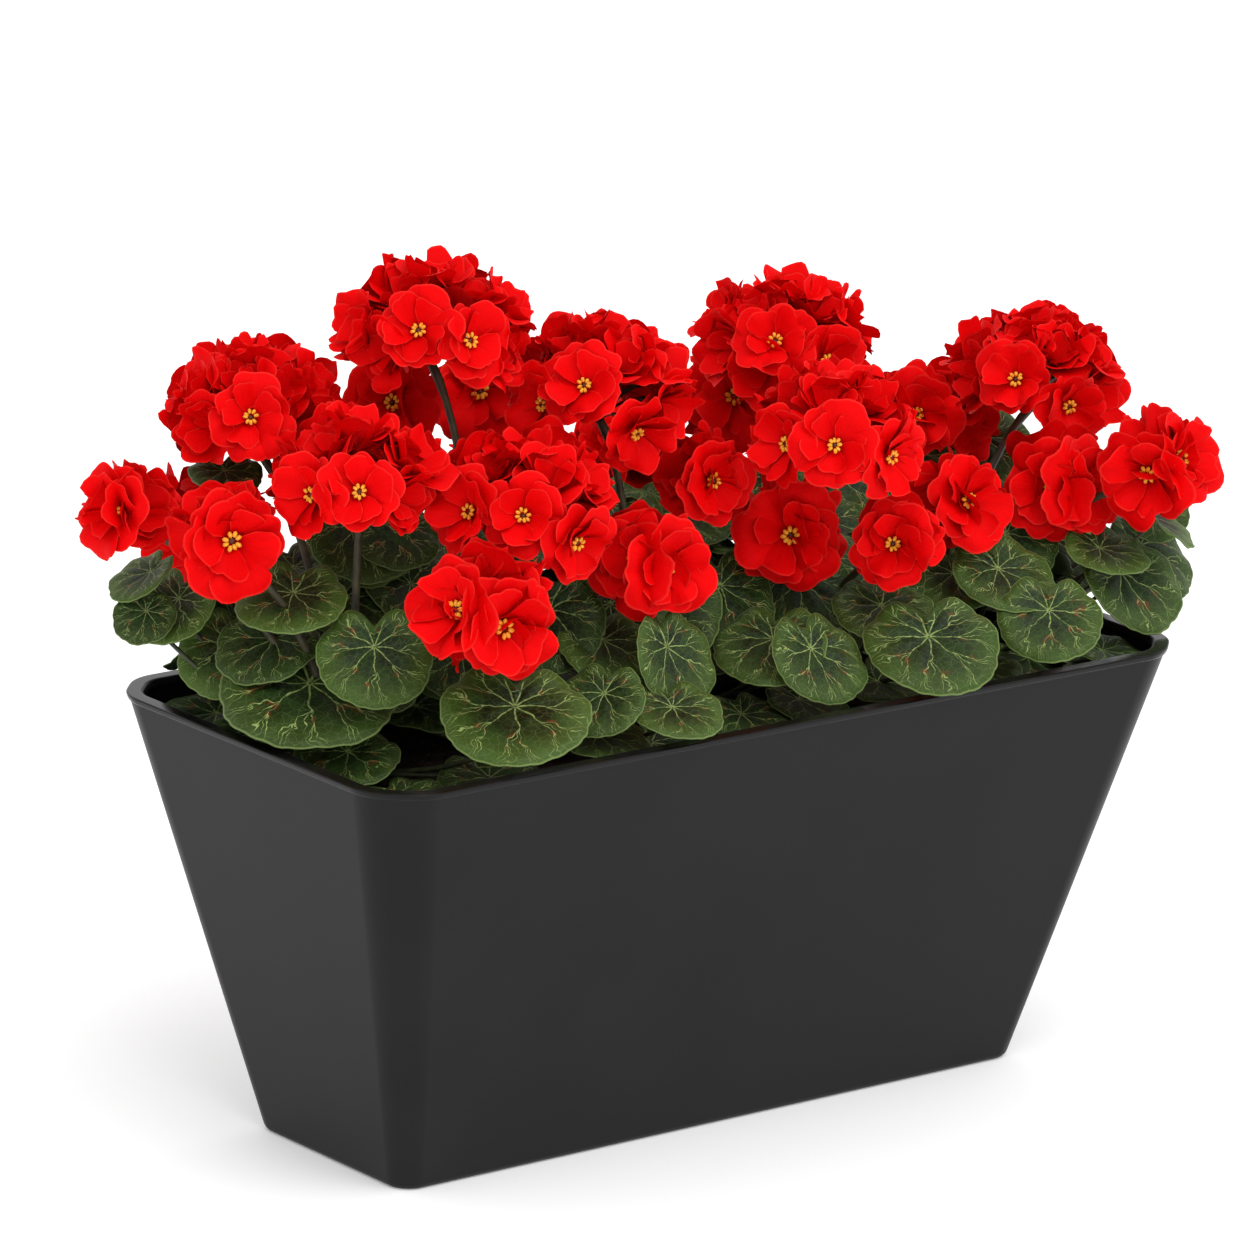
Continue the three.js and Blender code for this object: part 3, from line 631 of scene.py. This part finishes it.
def make_planter():
    """The planter's skin, from the middle of its floor over the rim to the middle of its base.
    An inset grows inwards, so an arc's angles run from 0, its inner side, to 180, its outer.
    The extra points near each edge keep the walls' shading flat."""
    lip_base = HEIGHT - LIP_HEIGHT
    inside = RIM_WIDTH - LIP_OVERHANG
    fine = EDGE_ROUND
    # The rim runs between these two points of the profile: glossier, and darker as painted shade on
    # its top and bead.
    rim = ((inside - fine, HEIGHT), (0.0001, lip_base + 0.0001))
    profile = [
        (WALL + 0.030, FLOOR),
        *rounded((WALL + BASE_ROUND, FLOOR + BASE_ROUND), BASE_ROUND, 270, 180),
        (WALL, FLOOR + 0.02),
        (WALL, lip_base - WALL - 0.01),
        (WALL, lip_base - WALL),
        (inside, lip_base),
        (inside, lip_base + 0.0008),
        *rounded((inside - fine, HEIGHT - fine), fine, 0, 90)[:-1],
        rim[0],
        (0.0045, HEIGHT),
        *rounded((fine - LIP_OVERHANG, HEIGHT - fine), fine, 90, 180),
        *rounded((fine - LIP_OVERHANG, lip_base + fine), fine, 180, 240),
        rim[1],
        (0.0, lip_base - 0.0008),
        (0.0, lip_base - 0.01),
        (0.0, BASE_ROUND + 0.012),
        *rounded((BASE_ROUND, BASE_ROUND), BASE_ROUND, 180, 270),
        (BASE_ROUND + 0.020, 0.0),
    ]
    rings = [outline(inset, max(z, 0.0)) for inset, z in profile]
    columns = len(rings[0])
    points = [point for ring in rings for point in ring]
    faces = [face[::-1] for face in grid_faces(len(rings), columns, closed=True)]
    points += [(0, 0, FLOOR), (0, 0, 0)]
    middle, last = len(points) - 2, (len(rings) - 1) * columns
    for i in range(columns):
        after = (i + 1) % columns
        faces.append((middle, i, after))
        faces.append((len(points) - 1, last + after, last + i))
    piece = Piece()
    piece.add(points, faces)
    start, end = (profile.index(edge) * columns for edge in rim)
    piece.materials[start:end] = [1] * (end - start)
    materials = [
        planter_material("planter_plastic", shade=0.0120, specular=0.11, roughness=0.35),
        # The same plastic as the walls with a darker base colour: painted shade on the rim's top and
        # bead.
        planter_material("planter_rim_painted_shade", shade=0.0035, specular=0.20, roughness=0.20),
    ]
    planter = piece.build("planter_moulding", materials, ["planter"])
    weighted = planter.modifiers.new("flat walls", "WEIGHTED_NORMAL")
    weighted.mode = "FACE_AREA"
    return planter


SOIL_CELL = 0.0042
SOIL_RINGS = 32  # of points, from the soil's edge to its middle
SOIL_RELIEF = 0.0035
SOIL_MARGIN = 0.012  # how far the crumbs keep from the rim's inner edge
CRUMBS = 1000
CRUMB_SIZES = (0.0010, 0.0030)


def soil_height(x, y):
    spot = Vector((x, y, 0.0))
    broad = noise.noise(spot * 22) * SOIL_RELIEF
    fine = noise.noise(spot * 110) * SOIL_RELIEF * 0.5
    grit = noise.noise(spot * 310) * SOIL_RELIEF * 0.25
    return SOIL_TOP - 0.002 + broad + fine + grit


def make_soil():
    """The soil's rough top over plain sides, and the crumbs that lie on it."""
    piece = Piece()
    edge = outline(WALL + FIT_GAP, SOIL_TOP, 2)
    base = outline(WALL + FIT_GAP, FLOOR + FIT_GAP, 2)
    points = []
    for ring in range(SOIL_RINGS):
        share = 1 - ring / SOIL_RINGS
        for x, y, _ in subdivided(edge, SOIL_CELL):
            here = (x * share, y * share)
            points.append((*here, soil_height(*here)))
    columns = len(points) // SOIL_RINGS
    faces = grid_faces(SOIL_RINGS, columns, closed=True)
    last = (SOIL_RINGS - 1) * columns
    points.append((0, 0, soil_height(0, 0)))
    faces += [(len(points) - 1, last + i, last + (i + 1) % columns) for i in range(columns)]
    foot = len(points)
    points += subdivided(base, SOIL_CELL, columns)
    for i in range(columns):
        after = (i + 1) % columns
        faces.append((after, i, foot + i, foot + after))
    points.append((0, 0, FLOOR + FIT_GAP))
    faces += [(len(points) - 1, foot + (i + 1) % columns, foot + i) for i in range(columns)]
    piece.add(points, faces)
    add_crumbs(piece)
    return piece.build("soil_bed", [soil_material()], ["potting_soil"])


def add_crumbs(piece):
    """Crumbs and longer chips, strewn over the soil."""
    half_length = RIM_LENGTH / 2 - RIM_WIDTH - SOIL_MARGIN
    half_depth = RIM_DEPTH / 2 - RIM_WIDTH - SOIL_MARGIN
    for _ in range(CRUMBS):
        x, y = rng.uniform(-half_length, half_length), rng.uniform(-half_depth, half_depth)
        size = rng.uniform(*CRUMB_SIZES)
        squash = Vector((rng.uniform(0.7, 1.6), rng.uniform(0.6, 1.0), rng.uniform(0.4, 0.8)))
        turn = Matrix.Rotation(rng.uniform(0, math.tau), 3, "Z")
        at = Vector((x, y, soil_height(x, y) + size * 0.15))
        lumps, triangles = ball(size, squash, turn, at)
        piece.add(lumps, triangles)


def subdivided(loop, cell, count=None):
    """Points evenly spaced along a closed loop."""
    loop = np.array(loop, float)
    ahead = np.roll(loop, -1, axis=0)
    lengths = np.linalg.norm(ahead - loop, axis=1)
    marks = np.concatenate([[0], np.cumsum(lengths)])
    count = count or int(marks[-1] / cell)
    closed = np.vstack([loop, loop[:1]])
    where = np.linspace(0, marks[-1], count, endpoint=False)
    return [tuple(np.interp(w, marks, closed[:, axis]) for axis in range(3)) for w in where]


GOLDEN = (1 + math.sqrt(5)) / 2
BALL_POINTS = [
    Vector(p).normalized()
    for p in [
        (-1, GOLDEN, 0), (1, GOLDEN, 0), (-1, -GOLDEN, 0), (1, -GOLDEN, 0),
        (0, -1, GOLDEN), (0, 1, GOLDEN), (0, -1, -GOLDEN), (0, 1, -GOLDEN),
        (GOLDEN, 0, -1), (GOLDEN, 0, 1), (-GOLDEN, 0, -1), (-GOLDEN, 0, 1),
    ]
]
BALL_FACES = [
    (0, 11, 5), (0, 5, 1), (0, 1, 7), (0, 7, 10), (0, 10, 11), (1, 5, 9), (5, 11, 4),
    (11, 10, 2), (10, 7, 6), (7, 1, 8), (3, 9, 4), (3, 4, 2), (3, 2, 6), (3, 6, 8), (3, 8, 9),
    (4, 9, 5), (2, 4, 11), (6, 2, 10), (8, 6, 7), (9, 8, 1),
]


def ball(radius, squash, turn, at):
    """A small faceted ball, stretched, turned and placed."""
    points = [turn @ (point * radius * squash) + at for point in BALL_POINTS]
    return points, BALL_FACES


# ---------------------------------------------------------------- plants


def seeded_spread(seed):
    """Numbers from -1 to 1 by the minimal standard rule."""
    state = seed
    while True:
        state = (state * MULTIPLIER) % MODULUS
        yield 2 * state / MODULUS - 1


def row_leaves(rows, seed):
    spread = seeded_spread(seed)
    leaves = []
    for start, end, count, radius, tilt, heading in rows:
        for i in range(count):
            share = i / (count - 1)
            at = Vector(start).lerp(Vector(end), share)
            at += Vector([SCATTER["at"] * next(spread) for _ in range(3)])
            leaves.append({
                "at": at,
                "radius": radius + SCATTER["radius"] * next(spread),
                "tilt": tilt + SCATTER["tilt"] * next(spread),
                "heading": heading + SCATTER["heading"] * next(spread),
            })
    return leaves


def crown_places():
    middle = (CROWN_COUNT - 1) / 2
    return [Vector(((i - middle) * CROWN_SPACING, CROWN_Y, SOIL_TOP)) for i in range(CROWN_COUNT)]


def set_roots(crown, things, place):
    """Gives each thing on a crown its root there: evenly spaced in the order of their headings."""
    def heading(thing):
        return math.atan2(thing["at"].y - crown.y, thing["at"].x - crown.x)

    ordered = sorted(things, key=heading)
    for i, thing in enumerate(ordered):
        angle = heading(ordered[0]) + math.tau * i / len(ordered)
        out = CROWN_RADIUS * place["out"]
        up = CROWN_RISE * place["up"]
        thing["root"] = crown + Vector((out * math.cos(angle), out * math.sin(angle), up))


def leaf_edge(angle):
    """The edge of a blade at angles from its tip, as a share of its radius."""
    lobe = 1 - np.abs(np.cos(angle * LEAF_LOBES / 2))
    tooth = TOOTH_DEPTH * (1 - np.abs(np.cos(angle * LEAF_LOBES * 3 / 2)))
    from_sinus = math.pi - np.abs(angle)
    sinus = SINUS_DEPTH * np.exp(-((from_sinus / SINUS_WIDTH) ** 2))
    return 1 - SCALLOP_DEPTH * lobe - tooth - sinus


def blade_points(radius, own):
    """A blade's upper face in its own frame, with x towards its tip and z along its normal: the
    sunken hub and rings of points out to the edge, and how near to the edge each of them is."""
    angle = np.linspace(-math.pi, math.pi, BLADE_ANGLES, endpoint=False)
    share = (np.arange(1, BLADE_RINGS + 1) / BLADE_RINGS)[:, None]
    edge = leaf_edge(angle)[None, :] * radius
    back = HUB_BACK * radius
    x = share * (edge * np.cos(angle) + back) - back
    y = share * edge * np.sin(angle)
    from_hub = np.arctan2(edge * np.sin(angle), edge * np.cos(angle) + back)
    wave = LEAF_WAVE * radius * np.sin(2 * angle + radius * 1000) * share**2
    pleat = PLEAT_DEPTH * radius * np.cos(from_hub * VEINS) * share * (1.2 - share)
    ruffle = RUFFLE_DEPTH * radius * np.sin(LEAF_LOBES * angle + 3 * own) * share**4
    dome = -HUB_DEPTH * radius * (1 - share) ** 1.7 - DROOP * radius * share**6
    rings = np.stack([x, y, dome + wave - pleat + ruffle], axis=-1).reshape(-1, 3)
    hub = np.array([[-back, 0, -HUB_DEPTH * radius]])
    return np.vstack([hub, rings]), np.concatenate([[0], np.repeat(share, BLADE_ANGLES)])


def add_blade(piece, leaf, own, basis):
    """A closed blade: an upper face, a lower face and a wall between their edges."""
    upper, rim = blade_points(leaf["radius"], own)
    lower = upper - np.array([0, 0, BLADE_THICKNESS])
    faces = [(0, 1 + i, 1 + (i + 1) % BLADE_ANGLES) for i in range(BLADE_ANGLES)]
    faces += [
        tuple(1 + i for i in face)[::-1]
        for face in grid_faces(BLADE_RINGS, BLADE_ANGLES, closed=True)
    ]
    for points, under in ((upper, 0), (lower, 1)):
        flat = (points[:, :2] - upper[0, :2]) / (4 * leaf["radius"]) + 0.5
        info = np.column_stack([rim, np.full(len(rim), own), np.full(len(rim), under)])
        turned = [face[::-1] for face in faces] if under else faces
        piece.add(points @ basis + np.array(leaf["at"]), turned, flat, info)
    half = len(upper)
    edge = piece.total - half - BLADE_ANGLES
    for i in range(BLADE_ANGLES):
        a, b = edge + i, edge + (i + 1) % BLADE_ANGLES
        piece.faces.append((b, a, a + half, b + half))
        piece.materials.append(0)


def add_leaf(piece, leaf):
    """A blade, browner the higher it stands, and its petiole down to the crown."""
    height_share = (leaf["at"].z - BROWN_FROM) / (BROWN_TO - BROWN_FROM)
    own = 0.5 * rng.random() + 0.5 * min(max(height_share, 0), 1)
    # A filling leaf takes a smaller share, so it stays darker green: painted shade inside the plants.
    own *= leaf["age"]
    radius = leaf["radius"]
    tip = direction(leaf["heading"], -leaf["tilt"])
    normal = direction(leaf["heading"], 90 - leaf["tilt"])
    add_blade(piece, leaf, own, np.array([tip, normal.cross(tip), normal]))
    start = leaf["at"] - normal * (HUB_DEPTH * radius + BLADE_THICKNESS / 2)
    start -= tip * (HUB_BACK * radius)
    below = leaf["at"] - normal * (HUB_DEPTH * radius + radius)
    below.z = max(below.z, SOIL_TOP + CROWN_RISE)
    path = bezier(start, below, leaf["root"], TUBE_STEPS)
    radii = PETIOLE_RADIUS * np.linspace(*PETIOLE_TAPER, TUBE_STEPS)
    tube(piece, path, radii, (0, own, STEM_BROWN * rng.random()), 1)


def add_stalk(piece, head):
    """A flower stalk, and the pedicels that spread from its top to the florets."""
    tip = Vector(head["at"])
    tip.z -= head["reach"] * CORE_SHARE * CORE_ENTRY
    bend = head["root"].lerp(tip, STALK_LEAN)
    bend.z = head["root"].z + (tip.z - head["root"].z) * STALK_BEND
    path = bezier(head["root"], bend, tip, TUBE_STEPS)
    radii = STALK_RADIUS * np.linspace(*STALK_TAPER, TUBE_STEPS)
    radii[-2:] *= STALK_SWELL
    own = rng.random()
    tube(piece, path, radii, (0, own, STALK_BROWN), 1)
    for floret in head["florets"]:
        throat = floret["origin"] - floret["facing"] * floret["radius"] * PEDICEL_END
        leaving = tip + (throat - tip) * PEDICEL_LEAN + Vector((0, 0, PEDICEL_RISE * head["reach"]))
        path = bezier(tip, leaving, throat, len(PEDICEL_SWELL))
        radii = PEDICEL_RADIUS * np.array(PEDICEL_SWELL)
        tube(piece, path, radii, (0, own, STEM_BROWN), 1)


def add_crown(piece, place):
    """A knobbly woody crown, its foot in the soil."""
    rows, columns = 9, 14
    foot = CROWN_DEPTH * 0.5
    points = []
    for row in range(rows):
        share = row / (rows - 1)
        z = place.z - foot + (foot + CROWN_RISE) * math.sin(share * math.pi / 2)
        width = CROWN_RADIUS * math.cos(share * math.pi / 2 * 0.93)
        for column in range(columns):
            angle = math.tau * column / columns
            x, y = math.cos(angle), math.sin(angle)
            knob = 1 + CROWN_KNOBS * noise.noise(Vector((x * 2, y * 2, 9 * share)))
            points.append((place.x + width * knob * x, place.y + width * knob * y, z))
    faces = grid_faces(rows, columns, closed=True)
    faces.append(tuple(reversed(range(columns))))
    faces.append(tuple(range((rows - 1) * columns, rows * columns)))
    piece.add(points, faces, info=(0, 0.5, 1), material=1)


# ---------------------------------------------------------------- flower heads


def floret_directions(kind, reach, first):
    """The florets' directions as in the solids, then those of more florets between them."""
    chosen = [direction(*degrees) for degrees in first]
    clear = 2 * math.asin(min(kind["radius"] / reach, MOST_SPREAD))
    chosen += spiral_directions(kind["lowest"], chosen, clear)
    fillers = spiral_directions(kind["lowest"] - FILL_LOWER, chosen, clear * FILL_SPACING)
    return chosen + fillers, len(chosen)


def spiral_directions(lowest, taken, clear):
    """Directions on a spiral from the top down to an elevation in degrees, each clear of the
    others and of those taken."""
    golden_angle = 180 * (3 - math.sqrt(5))
    lowest_height = math.sin(math.radians(lowest))
    kept = []
    for i in range(SPIRAL_POINTS):
        height = 1 + (lowest_height - 1) * i / (SPIRAL_POINTS - 1)
        point = direction(i * golden_angle, math.degrees(math.asin(height)))
        if all(other.angle(point) > clear for other in taken + kept):
            kept.append(point)
    return kept


def petal_points(kind, heading, cup, size, notch, waves, phase, sway, lift):
    """One petal of a floret of radius 1 that faces +Z: points, how near its edge they are, and
    their places along and across it. From size on, the values make each petal differ."""
    rows, columns = kind["rows"], kind["columns"]
    u = np.linspace(0, 1, rows)[:, None]
    v = np.linspace(-1, 1, columns)[None, :]
    reach = PETAL_CORNER + (1 - PETAL_CORNER) * (1 - np.abs(v) ** 2.6) ** (1 / 2.0)
    reach = reach - notch * np.exp(-((v / 0.16) ** 2))
    reach = reach - LOBE_DEPTH * (1 - np.abs(np.cos(waves * v + 2 * phase))) * (1 - v**4)
    out = np.clip(size * reach * u, 0, 1)
    r = PETAL_START + (kind["length"] - PETAL_START) * out * (1 - 0.25 * cup * out)
    angle = heading + sway * u + v * kind["half"] * (0.62 + 0.38 * smooth(u / 0.55))
    bowl = 1 - (1 - out**1.3) ** kind["steep"]
    z = kind["throat"] + (kind["tip"] + lift - kind["throat"]) * bowl + cup * out**1.5
    z = z - kind["curl"] * np.clip((out - 0.55) / 0.45, 0, 1) ** 2
    z = z + kind["cross"] * v**2 * u + kind["roll"] * v * u
    z = z + kind["ruffle"] * u**2 * np.sin(waves * v + phase) * (1 - 0.4 * v**2)
    z = z + 0.25 * kind["ruffle"] * u**4 * np.sin(2.2 * waves * v + 1.7 * phase)
    points = np.stack([r * np.cos(angle), r * np.sin(angle), np.broadcast_to(z, r.shape)], -1)
    edge = np.maximum(np.broadcast_to(u, r.shape), np.abs(np.broadcast_to(v, r.shape)))
    uv = np.stack(np.broadcast_arrays(u, (v + 1) / 2), -1)
    return points.reshape(-1, 3), edge.reshape(-1), uv.reshape(-1, 2)


def add_floret(petals, anthers, floret):
    """A floret's rings of petals, and its stamens where it is open."""
    radius = floret["radius"]
    turn = Vector((0, 0, 1)).rotation_difference(floret["facing"]).to_matrix()
    basis = turn @ Matrix.Rotation(floret["spin"], 3, "Z")
    turned = np.array(basis)
    origin = np.array(floret["origin"])
    rings = [OUTER_RING, INNER_RING] + ([] if floret["open"] else [HEART_RING])
    for ring, kind in enumerate(rings):
        faces = grid_faces(kind["rows"], kind["columns"])
        for i in range(kind["count"]):
            heading = math.tau * (i + 0.5 * ring + 0.15 * rng.uniform(-1, 1)) / kind["count"]
            own = {
                "size": rng.uniform(0.80, 1.04),
                "notch": rng.choice((0.0, 0.03, 0.06)),
                "waves": rng.uniform(2.6, 4.2),
                "phase": rng.uniform(0, math.tau),
                "sway": rng.uniform(-0.14, 0.14),
                "lift": rng.uniform(-0.15, 0.15),
            }
            cup = floret["cup"] * (1 - 0.3 * ring)
            points, edge, uv = petal_points(kind, heading, cup, **own)
            info = np.column_stack([edge, np.full(len(edge), rng.random()), np.zeros(len(edge))])
            petals.add(points * radius @ turned.T + origin, faces, uv, info)
    if floret["open"]:
        throat = OUTER_RING["throat"] + HEART_LIFT
        heart = floret["origin"] + floret["facing"] * radius * throat
        add_stamens(anthers, heart, basis, radius)


def add_stamens(anthers, heart, basis, radius):
    """A ring of golden anthers round a dark pistil."""
    for i in range(ANTHERS):
        angle = math.tau * i / ANTHERS + rng.uniform(-0.15, 0.15)
        out = ANTHER_RING * radius * rng.uniform(0.9, 1.15)
        up = rng.uniform(0.0005, 0.0020)
        at = heart + basis @ Vector((out * math.cos(angle), out * math.sin(angle), up))
        along = basis @ Matrix.Rotation(angle, 3, "Z")
        lumps, triangles = ball(ANTHER_SIZE * radius, Vector((1.30, 0.85, 0.8)), along, at)
        anthers.add(lumps, triangles, info=(0, rng.random(), 0))
    lumps, triangles = ball(0.6 * ANTHER_RING * radius, Vector((1, 1, 0.6)), basis, heart)
    anthers.add(lumps, triangles, info=(0, 0, 1))


def plan_head(name, at, reach, first):
    """Where the florets of a head stand, which way they face and how large they are."""
    kind, scale = (table[name.split("_")[0]] for table in (HEAD_KINDS, FLORET_SCALE))
    directions, main = floret_directions(kind, reach, first)
    radius = min(kind["radius"], FLORET_SHARE * reach)
    level = math.sqrt(reach**2 - radius**2)
    florets = []
    for i, point in enumerate(directions):
        foremost, filler = i < len(first), i >= main
        sink = (0 if foremost else CUP_SINK) + (FILL_SINK if filler else 0)
        depth = level + radius * (LIFT * rng.uniform(-1, 1) - sink)
        facing = Vector((point.x, point.y, point.z / kind["squash"])).normalized()
        stray = [math.radians(STRAY) * rng.uniform(-1, 1) for _ in range(3)]
        florets.append({
            "facing": facing if foremost else Euler(stray).to_matrix() @ facing,
            "radius": radius * scale * (FILL_SIZE if filler else 1),
            "origin": Vector(at) + depth * Vector((point.x, point.y, point.z * kind["squash"])),
            "spin": rng.uniform(0, math.tau),
            "cup": 0 if foremost else rng.uniform(*CUP),
            "open": foremost or (not filler and (i - len(first)) % OPEN_EVERY == 1),
        })
    return {"name": name, "at": Vector(at), "reach": reach, "florets": florets}


# ---------------------------------------------------------------- assembly


def clear_of(heads, leaves, leaf):
    """Whether a filling leaf lies outside or below every flower head and off the outer leaves."""
    for head in heads:
        inside = (head["at"] - leaf["at"]).length < head["reach"] + FILL_CLEARANCE * leaf["radius"]
        if inside and leaf["at"].z + 0.5 * leaf["radius"] > head["at"].z:
            return False
    return all((leaf["at"] - other["at"]).length > LEAF_CLEARANCE for other in leaves)


def given_leaves(table):
    keys = ("at", "radius", "tilt", "heading")
    return [dict(zip(keys, (Vector(at), *rest))) for at, *rest in table]


def make_plant(number, crown, leaves, heads, fillers, looks):
    """One plant's crown, leaves and stalks, the petals of each of its heads, and their stamens."""
    set_roots(crown, leaves, PETIOLE_ROOT)
    set_roots(crown, heads, STALK_ROOT)
    set_roots(crown, fillers, PETIOLE_ROOT)
    piece = Piece()
    add_crown(piece, crown)
    for leaf in leaves + fillers:
        add_leaf(piece, leaf)
    for head in heads:
        add_stalk(piece, head)
    foliage = [looks["leaf"], looks["stem"]]
    piece.build(f"foliage_{number}", foliage, [f"plant_{number}"])
    stamens = Piece()
    for head in heads:
        petals = Piece()
        for floret in head["florets"]:
            add_floret(petals, stamens, floret)
        name = head["name"]
        petals.build(f"petals_{name}", [looks["petal"]], [f"flower_{name}"])
    stamens.build(f"stamens_{number}", [looks["anther"]])


def make_plants():
    crowns = crown_places()
    heads = [plan_head(name, *spec) for name, spec in FLOWER_HEADS.items()]
    leaves = given_leaves(LEAVES) + row_leaves(LEAF_ROWS, SEED)
    fillers = given_leaves(FILL_LEAVES)
    fillers += [leaf for leaf in row_leaves(FILL_ROWS, SEED) if clear_of(heads, leaves, leaf)]
    # Filling leaves keep less of their fresh edge: painted shade inside the plants.
    for group, age in ((leaves, 1), (fillers, FILL_LIT_SHARE)):
        for leaf in group:
            leaf["age"] = age
    looks = {
        "leaf": leaf_material(),
        "stem": stem_material(),
        "petal": petal_material(),
        "anther": anther_material(),
    }

    def nearest(thing):
        return min(range(CROWN_COUNT), key=lambda i: (crowns[i] - thing["at"]).xy.length)

    for i, crown in enumerate(crowns):
        groups = [[one for one in every if nearest(one) == i] for every in (leaves, heads, fillers)]
        make_plant(i + 1, crown, *groups, looks)


# ---------------------------------------------------------------- stage, light and camera

CAMERA_AIM = (-0.0223, 0.0, 0.2891)
CAMERA_DISTANCE = 5.726
CAMERA_YAW = -38.79  # degrees, as the next two
CAMERA_PITCH = 15.85
CAMERA_ROLL = 1.90
CAMERA_LENS = 281.9  # millimetres on a 36 mm sensor
WORLD_STRENGTH = 1.0
FLOOR_HALF = 30.0
FLOOR_GLOW = 0.15  # keeps the planter's shadow on the floor faint
KEY_STRENGTH = 1.1
KEY_SPREAD = 55  # degrees: how wide, and so how soft, the key light is
KEY_FROM = (-90, 54)  # heading and elevation in degrees


def make_camera():
    yaw, pitch, roll = (math.radians(a) for a in (CAMERA_YAW, CAMERA_PITCH, CAMERA_ROLL))
    back = Vector((math.sin(yaw) * math.cos(pitch), -math.cos(yaw) * math.cos(pitch), math.sin(pitch)))
    level = Vector((math.cos(yaw), math.sin(yaw), 0))
    upright = back.cross(level)
    right = level * math.cos(roll) + upright * math.sin(roll)
    up = upright * math.cos(roll) - level * math.sin(roll)
    data = bpy.data.cameras.new("camera")
    data.sensor_width = 36
    data.lens = CAMERA_LENS
    data.clip_end = 100
    camera = bpy.data.objects.new("camera", data)
    camera.matrix_world = Matrix((right, up, back)).transposed().to_4x4()
    camera.location = Vector(CAMERA_AIM) + back * CAMERA_DISTANCE
    bpy.context.scene.collection.objects.link(camera)
    bpy.context.scene.camera = camera


def make_floor():
    mesh = bpy.data.meshes.new("floor")
    corners = [(-1, -1), (1, -1), (1, 1), (-1, 1)]
    points = [(FLOOR_HALF * x, FLOOR_HALF * y, 0) for x, y in corners]
    mesh.from_pydata(points, [], [(0, 1, 2, 3)])
    n = Nodes("floor_paint")
    glow = {"Emission_Color": (1, 1, 1, 1), "Emission_Strength": FLOOR_GLOW}
    mesh.materials.append(n.finish((0.96, 0.96, 0.96), 0.9, Specular_IOR_Level=0.1, **glow))
    floor = bpy.data.objects.new("floor", mesh)
    bpy.context.scene.collection.objects.link(floor)


def make_light():
    """Even white light from all round, and one broad soft light from the front and above."""
    world = bpy.data.worlds.new("studio")
    world.use_nodes = True
    background = world.node_tree.nodes["Background"]
    background.inputs["Color"].default_value = (1, 1, 1, 1)
    background.inputs["Strength"].default_value = WORLD_STRENGTH
    bpy.context.scene.world = world
    bpy.context.scene.view_settings.view_transform = "Standard"
    sun = bpy.data.lights.new("key", "SUN")
    sun.energy = KEY_STRENGTH
    sun.angle = math.radians(KEY_SPREAD)
    key = bpy.data.objects.new("key", sun)
    key.rotation_euler = (-direction(*KEY_FROM)).to_track_quat("-Z", "Y").to_euler()
    bpy.context.scene.collection.objects.link(key)


make_camera()
make_planter()
make_soil()
make_plants()
make_floor()
make_light()
